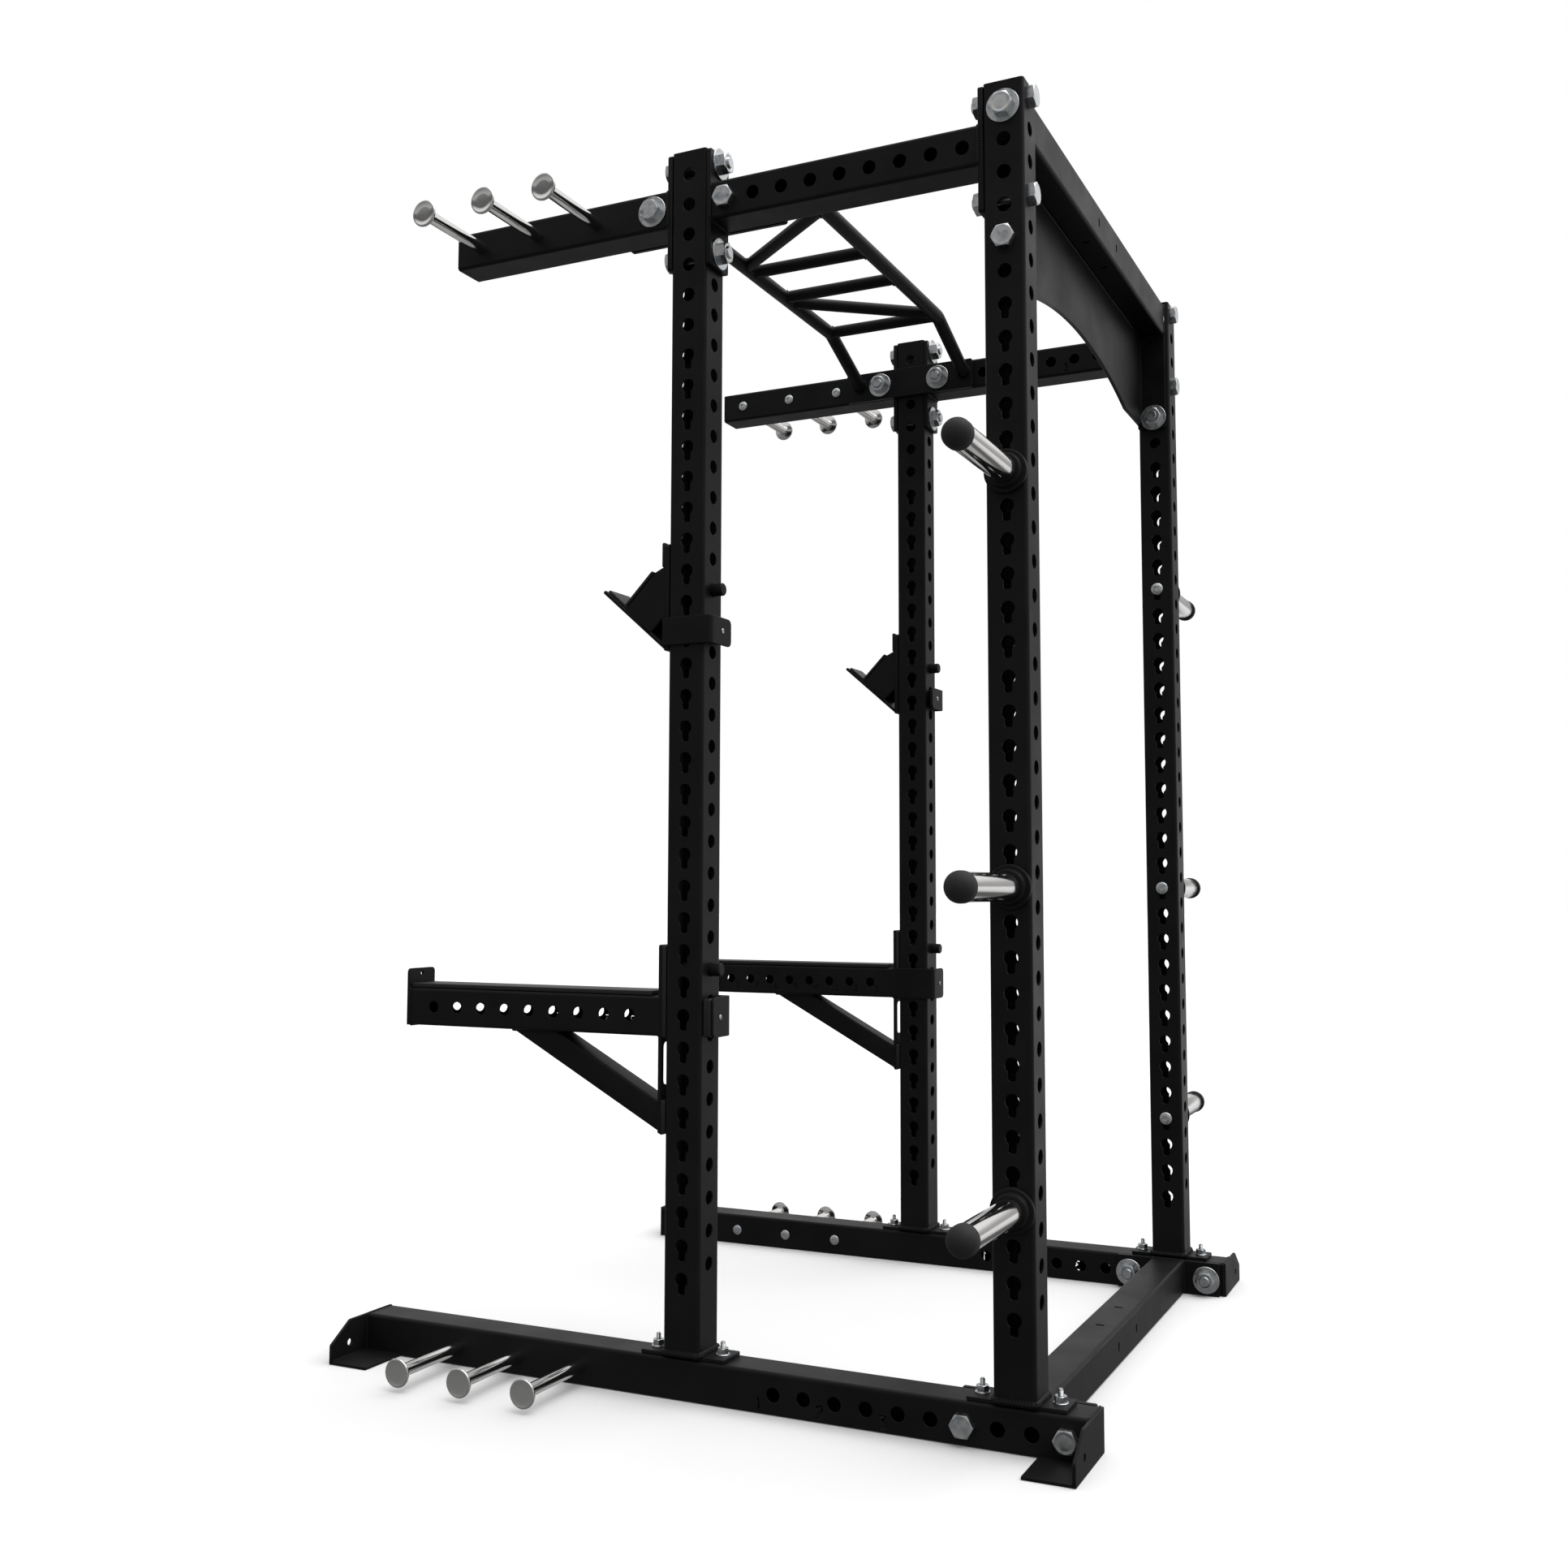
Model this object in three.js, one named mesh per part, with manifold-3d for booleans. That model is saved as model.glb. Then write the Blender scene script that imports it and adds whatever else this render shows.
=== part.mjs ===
// Power cage: four perforated square-tube uprights on two base rails, joined by side beams, a rear beam
// with an arched gusset and a base crossmember. It carries a multi-grip pull-up frame, front extensions,
// band pegs, plate storage pegs, two hinged J-hooks and two hinged spotter arms.
//
// Frame: millimetres, +Z up, the lifter walks in from -Y, X = 0 is the middle plane, Y = 0 is the middle
// of the base rails and Z = 0 is the floor. Solids are made for the +X side (right) and mirrored to the
// left. Across a side, u is the distance outward from the middle plane of the upright.

import * as THREE from 'three';
import { mergeVertices } from 'three/addons/utils/BufferGeometryUtils.js';
import Module from 'manifold-3d';

const wasm = await Module();
wasm.setup();

// ---------- driving dimensions ----------

const TUBE = 75; // side of the square tube
const HALF = TUBE / 2;
const WALL = 3;
const GAP = 0.3; // clearance between touching pieces
const PITCH = 60; // hole pitch of the uprights
const SIDE_X = 594; // middle plane of an upright, from the middle of the cage
const FRONT_Y = -17; // centre of the front uprights
const REAR_Y = 617.5; // centre of the rear uprights
const RAIL_HALF_LENGTH = 748.5;
const RAIL_HOLE_Z = 36; // height of the holes, bolts and pegs in a base rail
const FOOT_PLATE = 7; // thickness of the welded foot plate
const FOOT_PLATE_LENGTH = 174;
const FOOT_PLATE_WIDTH = 66;
const UPRIGHT_TOP = 2364;
const SIDE_HOLE_TOP = 2316.4; // height of the first hole in a side face
const FACE_HOLE_TOP = 2281.8; // height of hole 0 in a front or rear face
const BOLT_HOLE_R = 13.2;
const BOLT_R = 12;
const WASHER_R = 30;
const WASHER = 4; // thickness
const HEX_R = 21;
const HEAD_HEIGHT = 14;
const NUT_HEIGHT = 22;
const BEAM_Z = 2255.4; // centre height of side beams and extensions
const FLANGE = 9.5; // thickness of beam end flanges
const FLANGE_LOW = 2131;
const FLANGE_HIGH = 2362;
const EXTENSION_TIP_Y = -567.5;

const WING = 105; // how far an end bracket stands out beside its rail
const WING_SHOULDER = 48; // where the bracket's top edge starts to slope down, beside the rail
const WING_END_HEIGHT = 32;
const BRACKET = 6; // bracket plate thickness
const BRACKET_FLANGE_LENGTH = 90;
const BRACKET_SCREW = { beside: 50, height: 31, radius: 7 };
const CROSS_BOLT_Y = [527.2, 705.5]; // base crossmember bolts
const CROSS_PLATE_HALF = 118;
const DRAIN_R = 6; // vent hole under the base crossmember

const FLANGE_HOLES = [-1, 2]; // face holes behind a beam's end flange
const REAR_BEAM_HOLES = [0, 4]; // side holes behind the rear beam's end plates
const REAR_BEAM_Z = SIDE_HOLE_TOP;
const REAR_BEAM_INSET = 3; // rear face of the beam, in from the rear face of the upright
const GUSSET_END_DROP = 14; // how far the end plates reach below the gusset
const GUSSET_END_Z = 2059;
const GUSSET_ARCH_HALF = 394; // half width of the arch under the gusset
const GUSSET_ARCH_RISE = 53;

const GRIP_Z = 2341; // height of the pull-up grips
const GRIP_FRONT_Y = -155.5;
const GRIP_REAR_Y = 132.5;
const GRIP_BEND_X = 355;
const RAIL_R = 16;
const RUNG_R = 14;
const GRIP_PLATE_FRONT_Y = -193.5;
const GRIP_PLATE_REAR_Y = 155.5;
const GRIP_BOLT_Y = [-98.5, 61.5]; // pull-up frame bolts, either side of the front upright
// Where the rungs meet the front and the rear rail.
const RUNGS = [[-350, -350], [-120, -338], [-85, -85], [85, 85], [120, 338], [350, 350]];

const PLATE_PEG_HOLES = [11, 23, 32]; // side holes that hold the plate storage pegs
const PLATE_PEG_NAMES = ['top', 'middle', 'bottom'];
const PLATE_PEG_LENGTH = 278;
const PLATE_PEG_SLEEVE = 238;
const PLATE_PEG_R = 24;
const PLATE_PEG_FLANGE_R = 39;
const PLATE_PEG_CAP_R = 26;
const PLATE_PEG_DOME = 22;

const BAND_PEG_PITCH = 140;
const BAND_PEG_LENGTH = 188;
const BAND_PEG_R = 12;
const BAND_PEG_DISC_R = 26.5;
const BAND_PEG_TOP_Y = -508.5; // foremost peg of the extension
const BAND_PEG_BASE_Y = -514.5; // foremost peg of the base rail

const JHOOK_PIN_HOLE = 13; // front face hole that the J-hook hangs on
const SPOTTER_PIN_HOLE = 25;
const PIN_R = 12.2;
const PIN_END_Y = 44.5;
const WRAP_IN = 38.5; // inner side of a wrap plate, outward from the upright's middle plane
const WRAP_OUT = 44.5;
const WRAP_PLATE = 6;
const JHOOK_TAB_Y = 35.5; // front of the tab behind the upright
const SPOTTER_TAB_Y = 36.5;

const HOOK_FRONT_Y = FRONT_Y - HALF - 1; // rear face of what lies against the front of the upright
const JHOOK_PLATE_Y = HOOK_FRONT_Y - 10; // front face of the J-hook's back plate
const JHOOK_LOW = 1388;
const JHOOK_HIGH = 1592;
const JHOOK_WRAP = [1396, 1449]; // lower and upper edge of the J-hook's wrap plate
const JHOOK_SIDE_PLATE = 6;
const JHOOK_LIP = [[-204, 1508], [-66, 1389], [-60, 1389], [-60, 1395], [-199, 1514]];
const JHOOK_SLOPE = [[-152, 1466], [-82, 1537], [-88, 1543], [-158, 1472]];
const JHOOK_SIDE = [
  [-158, 1472], [-152, 1464], [-97, 1417], [-95, 1423], [-65, 1453], [-65, 1547], [-71, 1546], [-86, 1541]];
const SLOPE_LINER = [[-153.5, 1477], [-94, 1537.5], [-99, 1542.5], [-158.5, 1482]];
const BACK_LINER = { thickness: 5.5, low: 1549, high: 1593 };

const ARM_TIP_Y = -651.5;
const ARM_ROOT_Y = -70.5;
const ARM_LOW = 657;
const ARM_HIGH = 732;
const ARM_HOLE_PITCH = 57.35;
const ARM_FIRST_HOLE_Y = -592.8;
const ARM_HOLES = 9;
const ARM_HOLE_R = 11.5;
const ARM_STOP_HIGH = 770;
const ARM_PLATE = 6; // thickness of the arm's back plate
const ARM_PLATE_LOW = 478;
const ARM_PLATE_HIGH = 828;
const ARM_WINDOW = { half: 24, low: 566, high: 647 }; // opening in the back plate
const ARM_PAD_UPPER = 652; // lower edge of the upper pad
const ARM_PAD_LOWER = 560; // upper edge of the lower pad
const ARM_STRIP = 11;
const BRACE_HALF = 25;
const BRACE = [[-412, 662], [-305, 662], [-70, 537], [-70, 478], [-76, 478]];
const BRACE_BORE = [[-410, 663], [-320, 663], [-69, 531], [-69, 486]];

// ---------- materials ----------

const powderCoat = new THREE.MeshStandardMaterial({ color: 0x1b1b1c, roughness: 0.62, metalness: 0.3 });
const zinc = new THREE.MeshStandardMaterial({ color: 0xb9bec0, roughness: 0.35, metalness: 0.9 });
const chrome = new THREE.MeshStandardMaterial({ color: 0xd6d6d4, roughness: 0.12, metalness: 1 });
const rubber = new THREE.MeshStandardMaterial({ color: 0x161616, roughness: 0.8, metalness: 0 });
const liner = new THREE.MeshStandardMaterial({ color: 0x202021, roughness: 0.55, metalness: 0 });

// ---------- solid helpers ----------

function solid(geometry) {
  geometry.deleteAttribute('normal');
  geometry.deleteAttribute('uv');
  const merged = mergeVertices(geometry, 1e-3);
  const vertProperties = new Float32Array(merged.attributes.position.array);
  const triVerts = new Uint32Array(merged.index.array);
  return new wasm.Manifold(new wasm.Mesh({ numProp: 3, vertProperties, triVerts }));
}

function join(...solids) {
  return solids.reduce((sum, next) => sum.add(next));
}

function cut(body, ...tools) {
  return tools.reduce((rest, tool) => rest.subtract(tool), body);
}

function box(x0, x1, y0, y1, z0, z1) {
  const geometry = new THREE.BoxGeometry(x1 - x0, y1 - y0, z1 - z0);
  geometry.translate((x0 + x1) / 2, (y0 + y1) / 2, (z0 + z1) / 2);
  return solid(geometry);
}

// A plate with an outline of [y, z] points, between two values of x.
function plateX(outline, x0, x1) {
  const shape = new THREE.Shape(outline.map(([y, z]) => new THREE.Vector2(y, z)));
  const geometry = new THREE.ExtrudeGeometry(shape, { depth: x1 - x0, bevelEnabled: false });
  const toYZ = new THREE.Matrix4().makeBasis(
    new THREE.Vector3(0, 1, 0), new THREE.Vector3(0, 0, 1), new THREE.Vector3(1, 0, 0));
  geometry.applyMatrix4(toYZ);
  geometry.translate(x0, 0, 0);
  return solid(geometry);
}

// A plate with an outline of [x, z] points, between two values of y.
function plateY(outline, y0, y1) {
  const shape = new THREE.Shape(outline.map(([x, z]) => new THREE.Vector2(x, z)));
  const geometry = new THREE.ExtrudeGeometry(shape, { depth: y1 - y0, bevelEnabled: false });
  const toXZ = new THREE.Matrix4().makeBasis(
    new THREE.Vector3(1, 0, 0), new THREE.Vector3(0, 0, 1), new THREE.Vector3(0, -1, 0));
  geometry.applyMatrix4(toXZ);
  geometry.translate(0, y1, 0);
  return solid(geometry);
}

// A round bar between two points.
function rod(from, to, radius, sides = 10) {
  const start = new THREE.Vector3(...from);
  const end = new THREE.Vector3(...to);
  const along = end.clone().sub(start);
  const geometry = new THREE.CylinderGeometry(radius, radius, along.length(), sides);
  const turn = new THREE.Quaternion().setFromUnitVectors(
    new THREE.Vector3(0, 1, 0), along.clone().normalize());
  geometry.applyQuaternion(turn);
  geometry.translate(...start.add(end).multiplyScalar(0.5).toArray());
  return solid(geometry);
}

// A turned solid: profile of [radius, distance] points, the distance measured along +Y.
function turned(profile, sides = 10) {
  const points = profile.map(([r, d]) => new THREE.Vector2(r, d));
  return solid(new THREE.LatheGeometry(points, sides));
}

// Round holes through a tube: along X at [y, z], or along Y at [x, z].
function holeX(x, y, z, radius = BOLT_HOLE_R, reach = TUBE) {
  return rod([x - reach, y, z], [x + reach, y, z], radius);
}

function holeY(x, y, z, radius = BOLT_HOLE_R, reach = TUBE) {
  return rod([x, y - reach, z], [x, y + reach, z], radius);
}

// ---------- scene graph helpers ----------

const cage = new THREE.Group();

function geometryOf(body) {
  const mesh = body.getMesh();
  const geometry = new THREE.BufferGeometry();
  const stride = mesh.numProp;
  const count = mesh.vertProperties.length / stride;
  const position = new Float32Array(count * 3);
  for (let i = 0; i < count; i += 1) {
    for (let k = 0; k < 3; k += 1) position[3 * i + k] = mesh.vertProperties[stride * i + k];
  }
  geometry.setAttribute('position', new THREE.BufferAttribute(position, 3));
  geometry.setIndex([...mesh.triVerts]);
  return geometry;
}

function add(name, geometry, material) {
  const flat = geometry.toNonIndexed();
  flat.computeVertexNormals();
  const mesh = new THREE.Mesh(flat, material);
  mesh.name = name;
  cage.add(mesh);
  return mesh;
}

// The mirror image of a geometry in the plane x = 0.
function mirrored(geometry) {
  const copy = geometry.clone();
  copy.scale(-1, 1, 1);
  const index = copy.index.array;
  for (let i = 0; i < index.length; i += 3) [index[i], index[i + 1]] = [index[i + 1], index[i]];
  return copy;
}

function addPair(name, body, material) {
  const geometry = geometryOf(body);
  add(`${name}_right`, geometry, material);
  add(`${name}_left`, mirrored(geometry), material);
}

// ---------- frame ----------

// A square tube that is open at both ends of one axis.
function squareTube(x0, x1, y0, y1, z0, z1, openAxis) {
  const inset = [WALL, WALL, WALL];
  inset['xyz'.indexOf(openAxis)] = -1;
  const [ix, iy, iz] = inset;
  const bore = box(x0 + ix, x1 - ix, y0 + iy, y1 - iy, z0 + iz, z1 - iz);
  return cut(box(x0, x1, y0, y1, z0, z1), bore);
}

function upright(centreY, faceHoles, sideHoles) {
  const foot = TUBE + GAP;
  const tube = squareTube(SIDE_X - HALF, SIDE_X + HALF, centreY - HALF, centreY + HALF,
    foot + FOOT_PLATE - 1, UPRIGHT_TOP, 'z');
  const plate = box(SIDE_X - FOOT_PLATE_WIDTH / 2, SIDE_X + FOOT_PLATE_WIDTH / 2,
    centreY - FOOT_PLATE_LENGTH / 2, centreY + FOOT_PLATE_LENGTH / 2, foot, foot + FOOT_PLATE);
  const face = faceHoles.map((k) => holeY(SIDE_X, centreY, FACE_HOLE_TOP - k * PITCH));
  const side = sideHoles.map((n) => holeX(SIDE_X, centreY, SIDE_HOLE_TOP - n * PITCH));
  return cut(join(tube, plate), ...face, ...side);
}

// The end plate of a rail, with a wing that stands out beside the rail and an anchor flange on the floor.
function endBracket(sign) {
  const inner = SIDE_X - HALF;
  const outer = SIDE_X + HALF;
  const y = sign * RAIL_HALF_LENGTH;
  const outline = [
    [inner, 0], [outer + WING, 0], [outer + WING, WING_END_HEIGHT], [outer + WING_SHOULDER, TUBE],
    [inner, TUBE]];
  const plate = plateY(outline, Math.min(y, y - sign * BRACKET), Math.max(y, y - sign * BRACKET));
  const back = y - sign * BRACKET_FLANGE_LENGTH;
  const flange = box(outer - 1, outer + WING, Math.min(y, back), Math.max(y, back), 0, BRACKET);
  const { beside, height, radius } = BRACKET_SCREW;
  const screwHole = holeY(outer + beside, y, height, radius, 20);
  return cut(join(plate, flange), screwHole);
}

function baseRail() {
  const reach = RAIL_HALF_LENGTH - BRACKET / 2;
  const tube = squareTube(SIDE_X - HALF, SIDE_X + HALF, -reach, reach, 0, TUBE, 'y');
  const boltHoles = CROSS_BOLT_Y.map((y) => holeX(SIDE_X, y, RAIL_HOLE_Z));
  return cut(join(tube, endBracket(-1), endBracket(1)), ...boltHoles);
}

function baseCrossmember() {
  const end = SIDE_X - HALF - GAP;
  const tube = squareTube(-end + 1, end - 1, REAR_Y - HALF, REAR_Y + HALF, 0, TUBE, 'x');
  const plates = [-1, 1].map((s) => box(
    Math.min(s * end, s * (end - FLANGE)), Math.max(s * end, s * (end - FLANGE)),
    REAR_Y - CROSS_PLATE_HALF, REAR_Y + CROSS_PLATE_HALF, 0, TUBE));
  const holes = [-1, 1].flatMap(
    (s) => CROSS_BOLT_Y.map((y) => holeX(s * end, y, RAIL_HOLE_Z, BOLT_HOLE_R, 20)));
  const drain = rod([0, REAR_Y, -5], [0, REAR_Y, 10], DRAIN_R);
  return cut(join(tube, ...plates), ...holes, drain);
}

function flangePlate(y0, y1) {
  const plate = box(SIDE_X - HALF, SIDE_X + HALF, y0, y1, FLANGE_LOW, FLANGE_HIGH);
  const middle = (y0 + y1) / 2;
  const holes = FLANGE_HOLES.map((k) => holeY(SIDE_X, middle, FACE_HOLE_TOP - k * PITCH, BOLT_HOLE_R, 20));
  return cut(plate, ...holes);
}

function sideBeam() {
  const front = FRONT_Y + HALF + GAP;
  const rear = REAR_Y - HALF - GAP;
  const tube = squareTube(SIDE_X - HALF, SIDE_X + HALF, front + 1, rear - 1,
    BEAM_Z - HALF, BEAM_Z + HALF, 'y');
  const body = join(tube, flangePlate(front, front + FLANGE), flangePlate(rear - FLANGE, rear));
  return cut(body, holeX(SIDE_X, GRIP_BOLT_Y[1], BEAM_Z));
}

function topExtension() {
  const back = FRONT_Y - HALF - GAP;
  const tube = squareTube(SIDE_X - HALF, SIDE_X + HALF, EXTENSION_TIP_Y, back - 1,
    BEAM_Z - HALF, BEAM_Z + HALF, 'y');
  return cut(join(tube, flangePlate(back - FLANGE, back)), holeX(SIDE_X, GRIP_BOLT_Y[0], BEAM_Z));
}

// Box tube between the rear uprights, with the arched gusset plate in front of it and end plates.
function rearBeam() {
  const end = SIDE_X - HALF - GAP;
  const front = REAR_Y - HALF;
  const gussetBack = front + BRACKET;
  const back = REAR_Y + HALF - REAR_BEAM_INSET;
  const top = REAR_BEAM_Z + HALF;
  const tube = squareTube(-end + 1, end - 1, gussetBack - 1, back, REAR_BEAM_Z - HALF, top, 'x');
  const radius = (GUSSET_ARCH_HALF ** 2 + GUSSET_ARCH_RISE ** 2) / (2 * GUSSET_ARCH_RISE);
  const sweep = Math.asin(GUSSET_ARCH_HALF / radius);
  const steps = 12;
  const arch = Array.from({ length: steps + 1 }, (_, i) => {
    const a = sweep * (2 * i / steps - 1);
    return [radius * Math.sin(a), GUSSET_END_Z + GUSSET_ARCH_RISE - radius * (1 - Math.cos(a))];
  });
  const gusset = plateY([[-end, GUSSET_END_Z], ...arch, [end, GUSSET_END_Z], [end, top], [-end, top]],
    front, gussetBack);
  const plates = [-1, 1].map((s) => box(
    Math.min(s * end, s * (end - FLANGE)), Math.max(s * end, s * (end - FLANGE)),
    front, back, GUSSET_END_Z - GUSSET_END_DROP, top));
  const holes = REAR_BEAM_HOLES.map((n) => rod([-end - 5, REAR_Y, SIDE_HOLE_TOP - n * PITCH],
    [end + 5, REAR_Y, SIDE_HOLE_TOP - n * PITCH], BOLT_HOLE_R));
  return cut(join(tube, gusset, ...plates), ...holes);
}

// Two bent rails with straight and slanted rungs between them, on an end plate at each side.
function pullupFrame() {
  const end = SIDE_X - HALF - GAP;
  const plateIn = end - FLANGE;
  const parts = [-1, 1].map((s) => box(
    Math.min(s * end, s * plateIn), Math.max(s * end, s * plateIn),
    GRIP_PLATE_FRONT_Y, GRIP_PLATE_REAR_Y, BEAM_Z - HALF - 1, BEAM_Z + HALF + 1));
  for (const y of [GRIP_FRONT_Y, GRIP_REAR_Y]) {
    parts.push(rod([-GRIP_BEND_X, y, GRIP_Z], [GRIP_BEND_X, y, GRIP_Z], RAIL_R, 10));
    for (const s of [-1, 1]) {
      parts.push(rod([s * GRIP_BEND_X, y, GRIP_Z], [s * (plateIn + 2), y, BEAM_Z + 4], RAIL_R, 10));
      const knee = new THREE.SphereGeometry(RAIL_R, 10, 6);
      knee.translate(s * GRIP_BEND_X, y, GRIP_Z);
      parts.push(solid(knee));
    }
  }
  for (const [frontX, rearX] of RUNGS) {
    parts.push(rod([frontX, GRIP_FRONT_Y, GRIP_Z], [rearX, GRIP_REAR_Y, GRIP_Z], RUNG_R, 10));
  }
  const holes = [-1, 1].flatMap((s) => GRIP_BOLT_Y.map((y) => holeX(s * end, y, BEAM_Z, BOLT_HOLE_R, 20)));
  return cut(join(...parts), ...holes);
}

// ---------- pegs ----------

// Chrome sleeve with a round flange and a stud that passes through the upright to its screw head.
function platePeg(holeNumber) {
  const body = turned([
    [0, -TUBE - 7], [14, -TUBE - 7], [14, -TUBE - GAP], [BOLT_R, -TUBE - GAP], [BOLT_R, GAP],
    [PLATE_PEG_FLANGE_R, GAP], [PLATE_PEG_FLANGE_R, 8], [31, 12], [31, 20],
    [PLATE_PEG_R, 22], [PLATE_PEG_R, PLATE_PEG_SLEEVE], [0, PLATE_PEG_SLEEVE]]);
  return onSideFace(body, REAR_Y, SIDE_HOLE_TOP - holeNumber * PITCH);
}

function platePegCap(holeNumber) {
  const start = PLATE_PEG_SLEEVE + GAP;
  const shoulder = PLATE_PEG_LENGTH - PLATE_PEG_DOME;
  const dome = [0, 1, 2, 3].map((i) => {
    const a = (i / 4) * Math.PI / 2;
    return [PLATE_PEG_CAP_R * Math.cos(a), shoulder + PLATE_PEG_DOME * Math.sin(a)];
  });
  const cap = turned([[0, start], [PLATE_PEG_CAP_R, start], ...dome, [0, PLATE_PEG_LENGTH]]);
  return onSideFace(cap, REAR_Y, SIDE_HOLE_TOP - holeNumber * PITCH);
}

// Rod with a flat end disc.
function bandPeg(y, z) {
  const body = turned([
    [0, GAP], [BAND_PEG_R, GAP], [BAND_PEG_R, BAND_PEG_LENGTH - 5],
    [BAND_PEG_DISC_R, BAND_PEG_LENGTH - 4.5], [BAND_PEG_DISC_R, BAND_PEG_LENGTH], [0, BAND_PEG_LENGTH]]);
  return onSideFace(body, y, z);
}

// Stands a turned solid on the outer side face, its axis pointing outward.
function onSideFace(body, y, z) {
  return body.rotate([0, 0, -90]).translate([SIDE_X + HALF, y, z]);
}

// ---------- J-hook and spotter arm ----------

function pin(holeNumber, frontY) {
  const z = FACE_HOLE_TOP - holeNumber * PITCH;
  return rod([SIDE_X, frontY, z], [SIDE_X, PIN_END_Y, z], PIN_R);
}

// Plate that runs back beside the upright and turns behind it; side is +1 for outside, -1 for inside.
function wrap(side, frontY, tabY, z0, z1) {
  const back = tabY + WRAP_PLATE;
  const x = (u) => SIDE_X + side * u;
  const sideways = (a, b, y0, y1) => box(Math.min(x(a), x(b)), Math.max(x(a), x(b)), y0, y1, z0, z1);
  return join(sideways(WRAP_IN, WRAP_OUT, frontY, back), sideways(-WRAP_OUT, WRAP_OUT, tabY, back));
}

// Hook with a sloped seat between two side plates.
function jhook() {
  const left = SIDE_X - HALF;
  const right = SIDE_X + HALF;
  const backPlate = box(left, right, JHOOK_PLATE_Y, HOOK_FRONT_Y, JHOOK_LOW, JHOOK_HIGH);
  const lip = plateX(JHOOK_LIP, left, right);
  const slope = plateX(JHOOK_SLOPE, left, right);
  const sides = [left, right - JHOOK_SIDE_PLATE].map((x) => plateX(JHOOK_SIDE, x, x + JHOOK_SIDE_PLATE));
  const link = box(right - 5, SIDE_X + WRAP_OUT, JHOOK_PLATE_Y, HOOK_FRONT_Y, ...JHOOK_WRAP);
  return join(backPlate, lip, slope, ...sides, link,
    wrap(1, JHOOK_PLATE_Y, JHOOK_TAB_Y, ...JHOOK_WRAP), pin(JHOOK_PIN_HOLE, JHOOK_PLATE_Y + 2));
}

function jhookSlopeLiner() {
  return plateX(SLOPE_LINER, SIDE_X - HALF + 2, SIDE_X + HALF - 2);
}

function jhookBackLiner() {
  const back = JHOOK_PLATE_Y - GAP;
  const { thickness, low, high } = BACK_LINER;
  return box(SIDE_X - HALF, SIDE_X + HALF, back - thickness, back, low, high);
}

// Pad between a wrap plate's tab and the rear face of the upright, from u0 to u1 outward.
function tabPad(u0, u1, tabY, z0, z1) {
  return box(SIDE_X + u0, SIDE_X + u1, FRONT_Y + HALF + 1, tabY - GAP, z0, z1);
}

// Perforated arm with an end stop, a back plate, a brace under the arm and a wrap plate on the inner side.
function spotterArm() {
  const left = SIDE_X - HALF;
  const right = SIDE_X + HALF;
  const armLeft = SIDE_X - WRAP_OUT;
  const middle = (ARM_LOW + ARM_HIGH) / 2;
  const tube = squareTube(armLeft, right, ARM_TIP_Y - 1, ARM_ROOT_Y + 1, ARM_LOW, ARM_HIGH, 'y');
  const holes = Array.from({ length: ARM_HOLES }, (_, i) => {
    const y = ARM_FIRST_HOLE_Y + i * ARM_HOLE_PITCH;
    return rod([SIDE_X - TUBE, y, middle], [SIDE_X + TUBE, y, middle], ARM_HOLE_R, 8);
  });
  const endStop = box(armLeft, right + 3, ARM_TIP_Y - BRACKET, ARM_TIP_Y, ARM_LOW, ARM_STOP_HIGH);
  const link = box(armLeft, left + 5, ARM_ROOT_Y, HOOK_FRONT_Y, ARM_LOW, ARM_HIGH);
  const window = box(SIDE_X - ARM_WINDOW.half, SIDE_X + ARM_WINDOW.half, ARM_ROOT_Y - 1, HOOK_FRONT_Y,
    ARM_WINDOW.low, ARM_WINDOW.high);
  const backPlate = cut(
    box(left, right, ARM_ROOT_Y, ARM_ROOT_Y + ARM_PLATE, ARM_PLATE_LOW, ARM_PLATE_HIGH), window);
  const padStart = ARM_ROOT_Y + ARM_PLATE - 1;
  const upperPad = box(left, right, padStart, HOOK_FRONT_Y, ARM_PAD_UPPER, ARM_PLATE_HIGH);
  const lowerPad = box(left, right, padStart, HOOK_FRONT_Y, ARM_PLATE_LOW, ARM_PAD_LOWER);
  const brace = plateX(BRACE, SIDE_X - BRACE_HALF, SIDE_X + BRACE_HALF);
  const bore = plateX(BRACE_BORE, SIDE_X - BRACE_HALF + WALL, SIDE_X + BRACE_HALF - WALL);
  const underArm = box(SIDE_X - TUBE, SIDE_X + TUBE, ARM_TIP_Y, ARM_ROOT_Y - 1,
    ARM_PLATE_LOW - TUBE, ARM_LOW - 1);
  const vent = holeX(SIDE_X, -200, 570, 5, 60);
  return join(cut(tube, ...holes), endStop, backPlate, upperPad, lowerPad, link,
    cut(brace, bore.intersect(underArm), vent), wrap(-1, ARM_ROOT_Y, SPOTTER_TAB_Y, ARM_LOW, ARM_HIGH),
    pin(SPOTTER_PIN_HOLE, ARM_ROOT_Y + 2));
}

function spotterStrip() {
  return box(SIDE_X - HALF - 4, SIDE_X + HALF - 3, ARM_TIP_Y + GAP, ARM_ROOT_Y - GAP,
    ARM_HIGH + GAP, ARM_HIGH + ARM_STRIP);
}

// ---------- through bolts ----------

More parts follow.
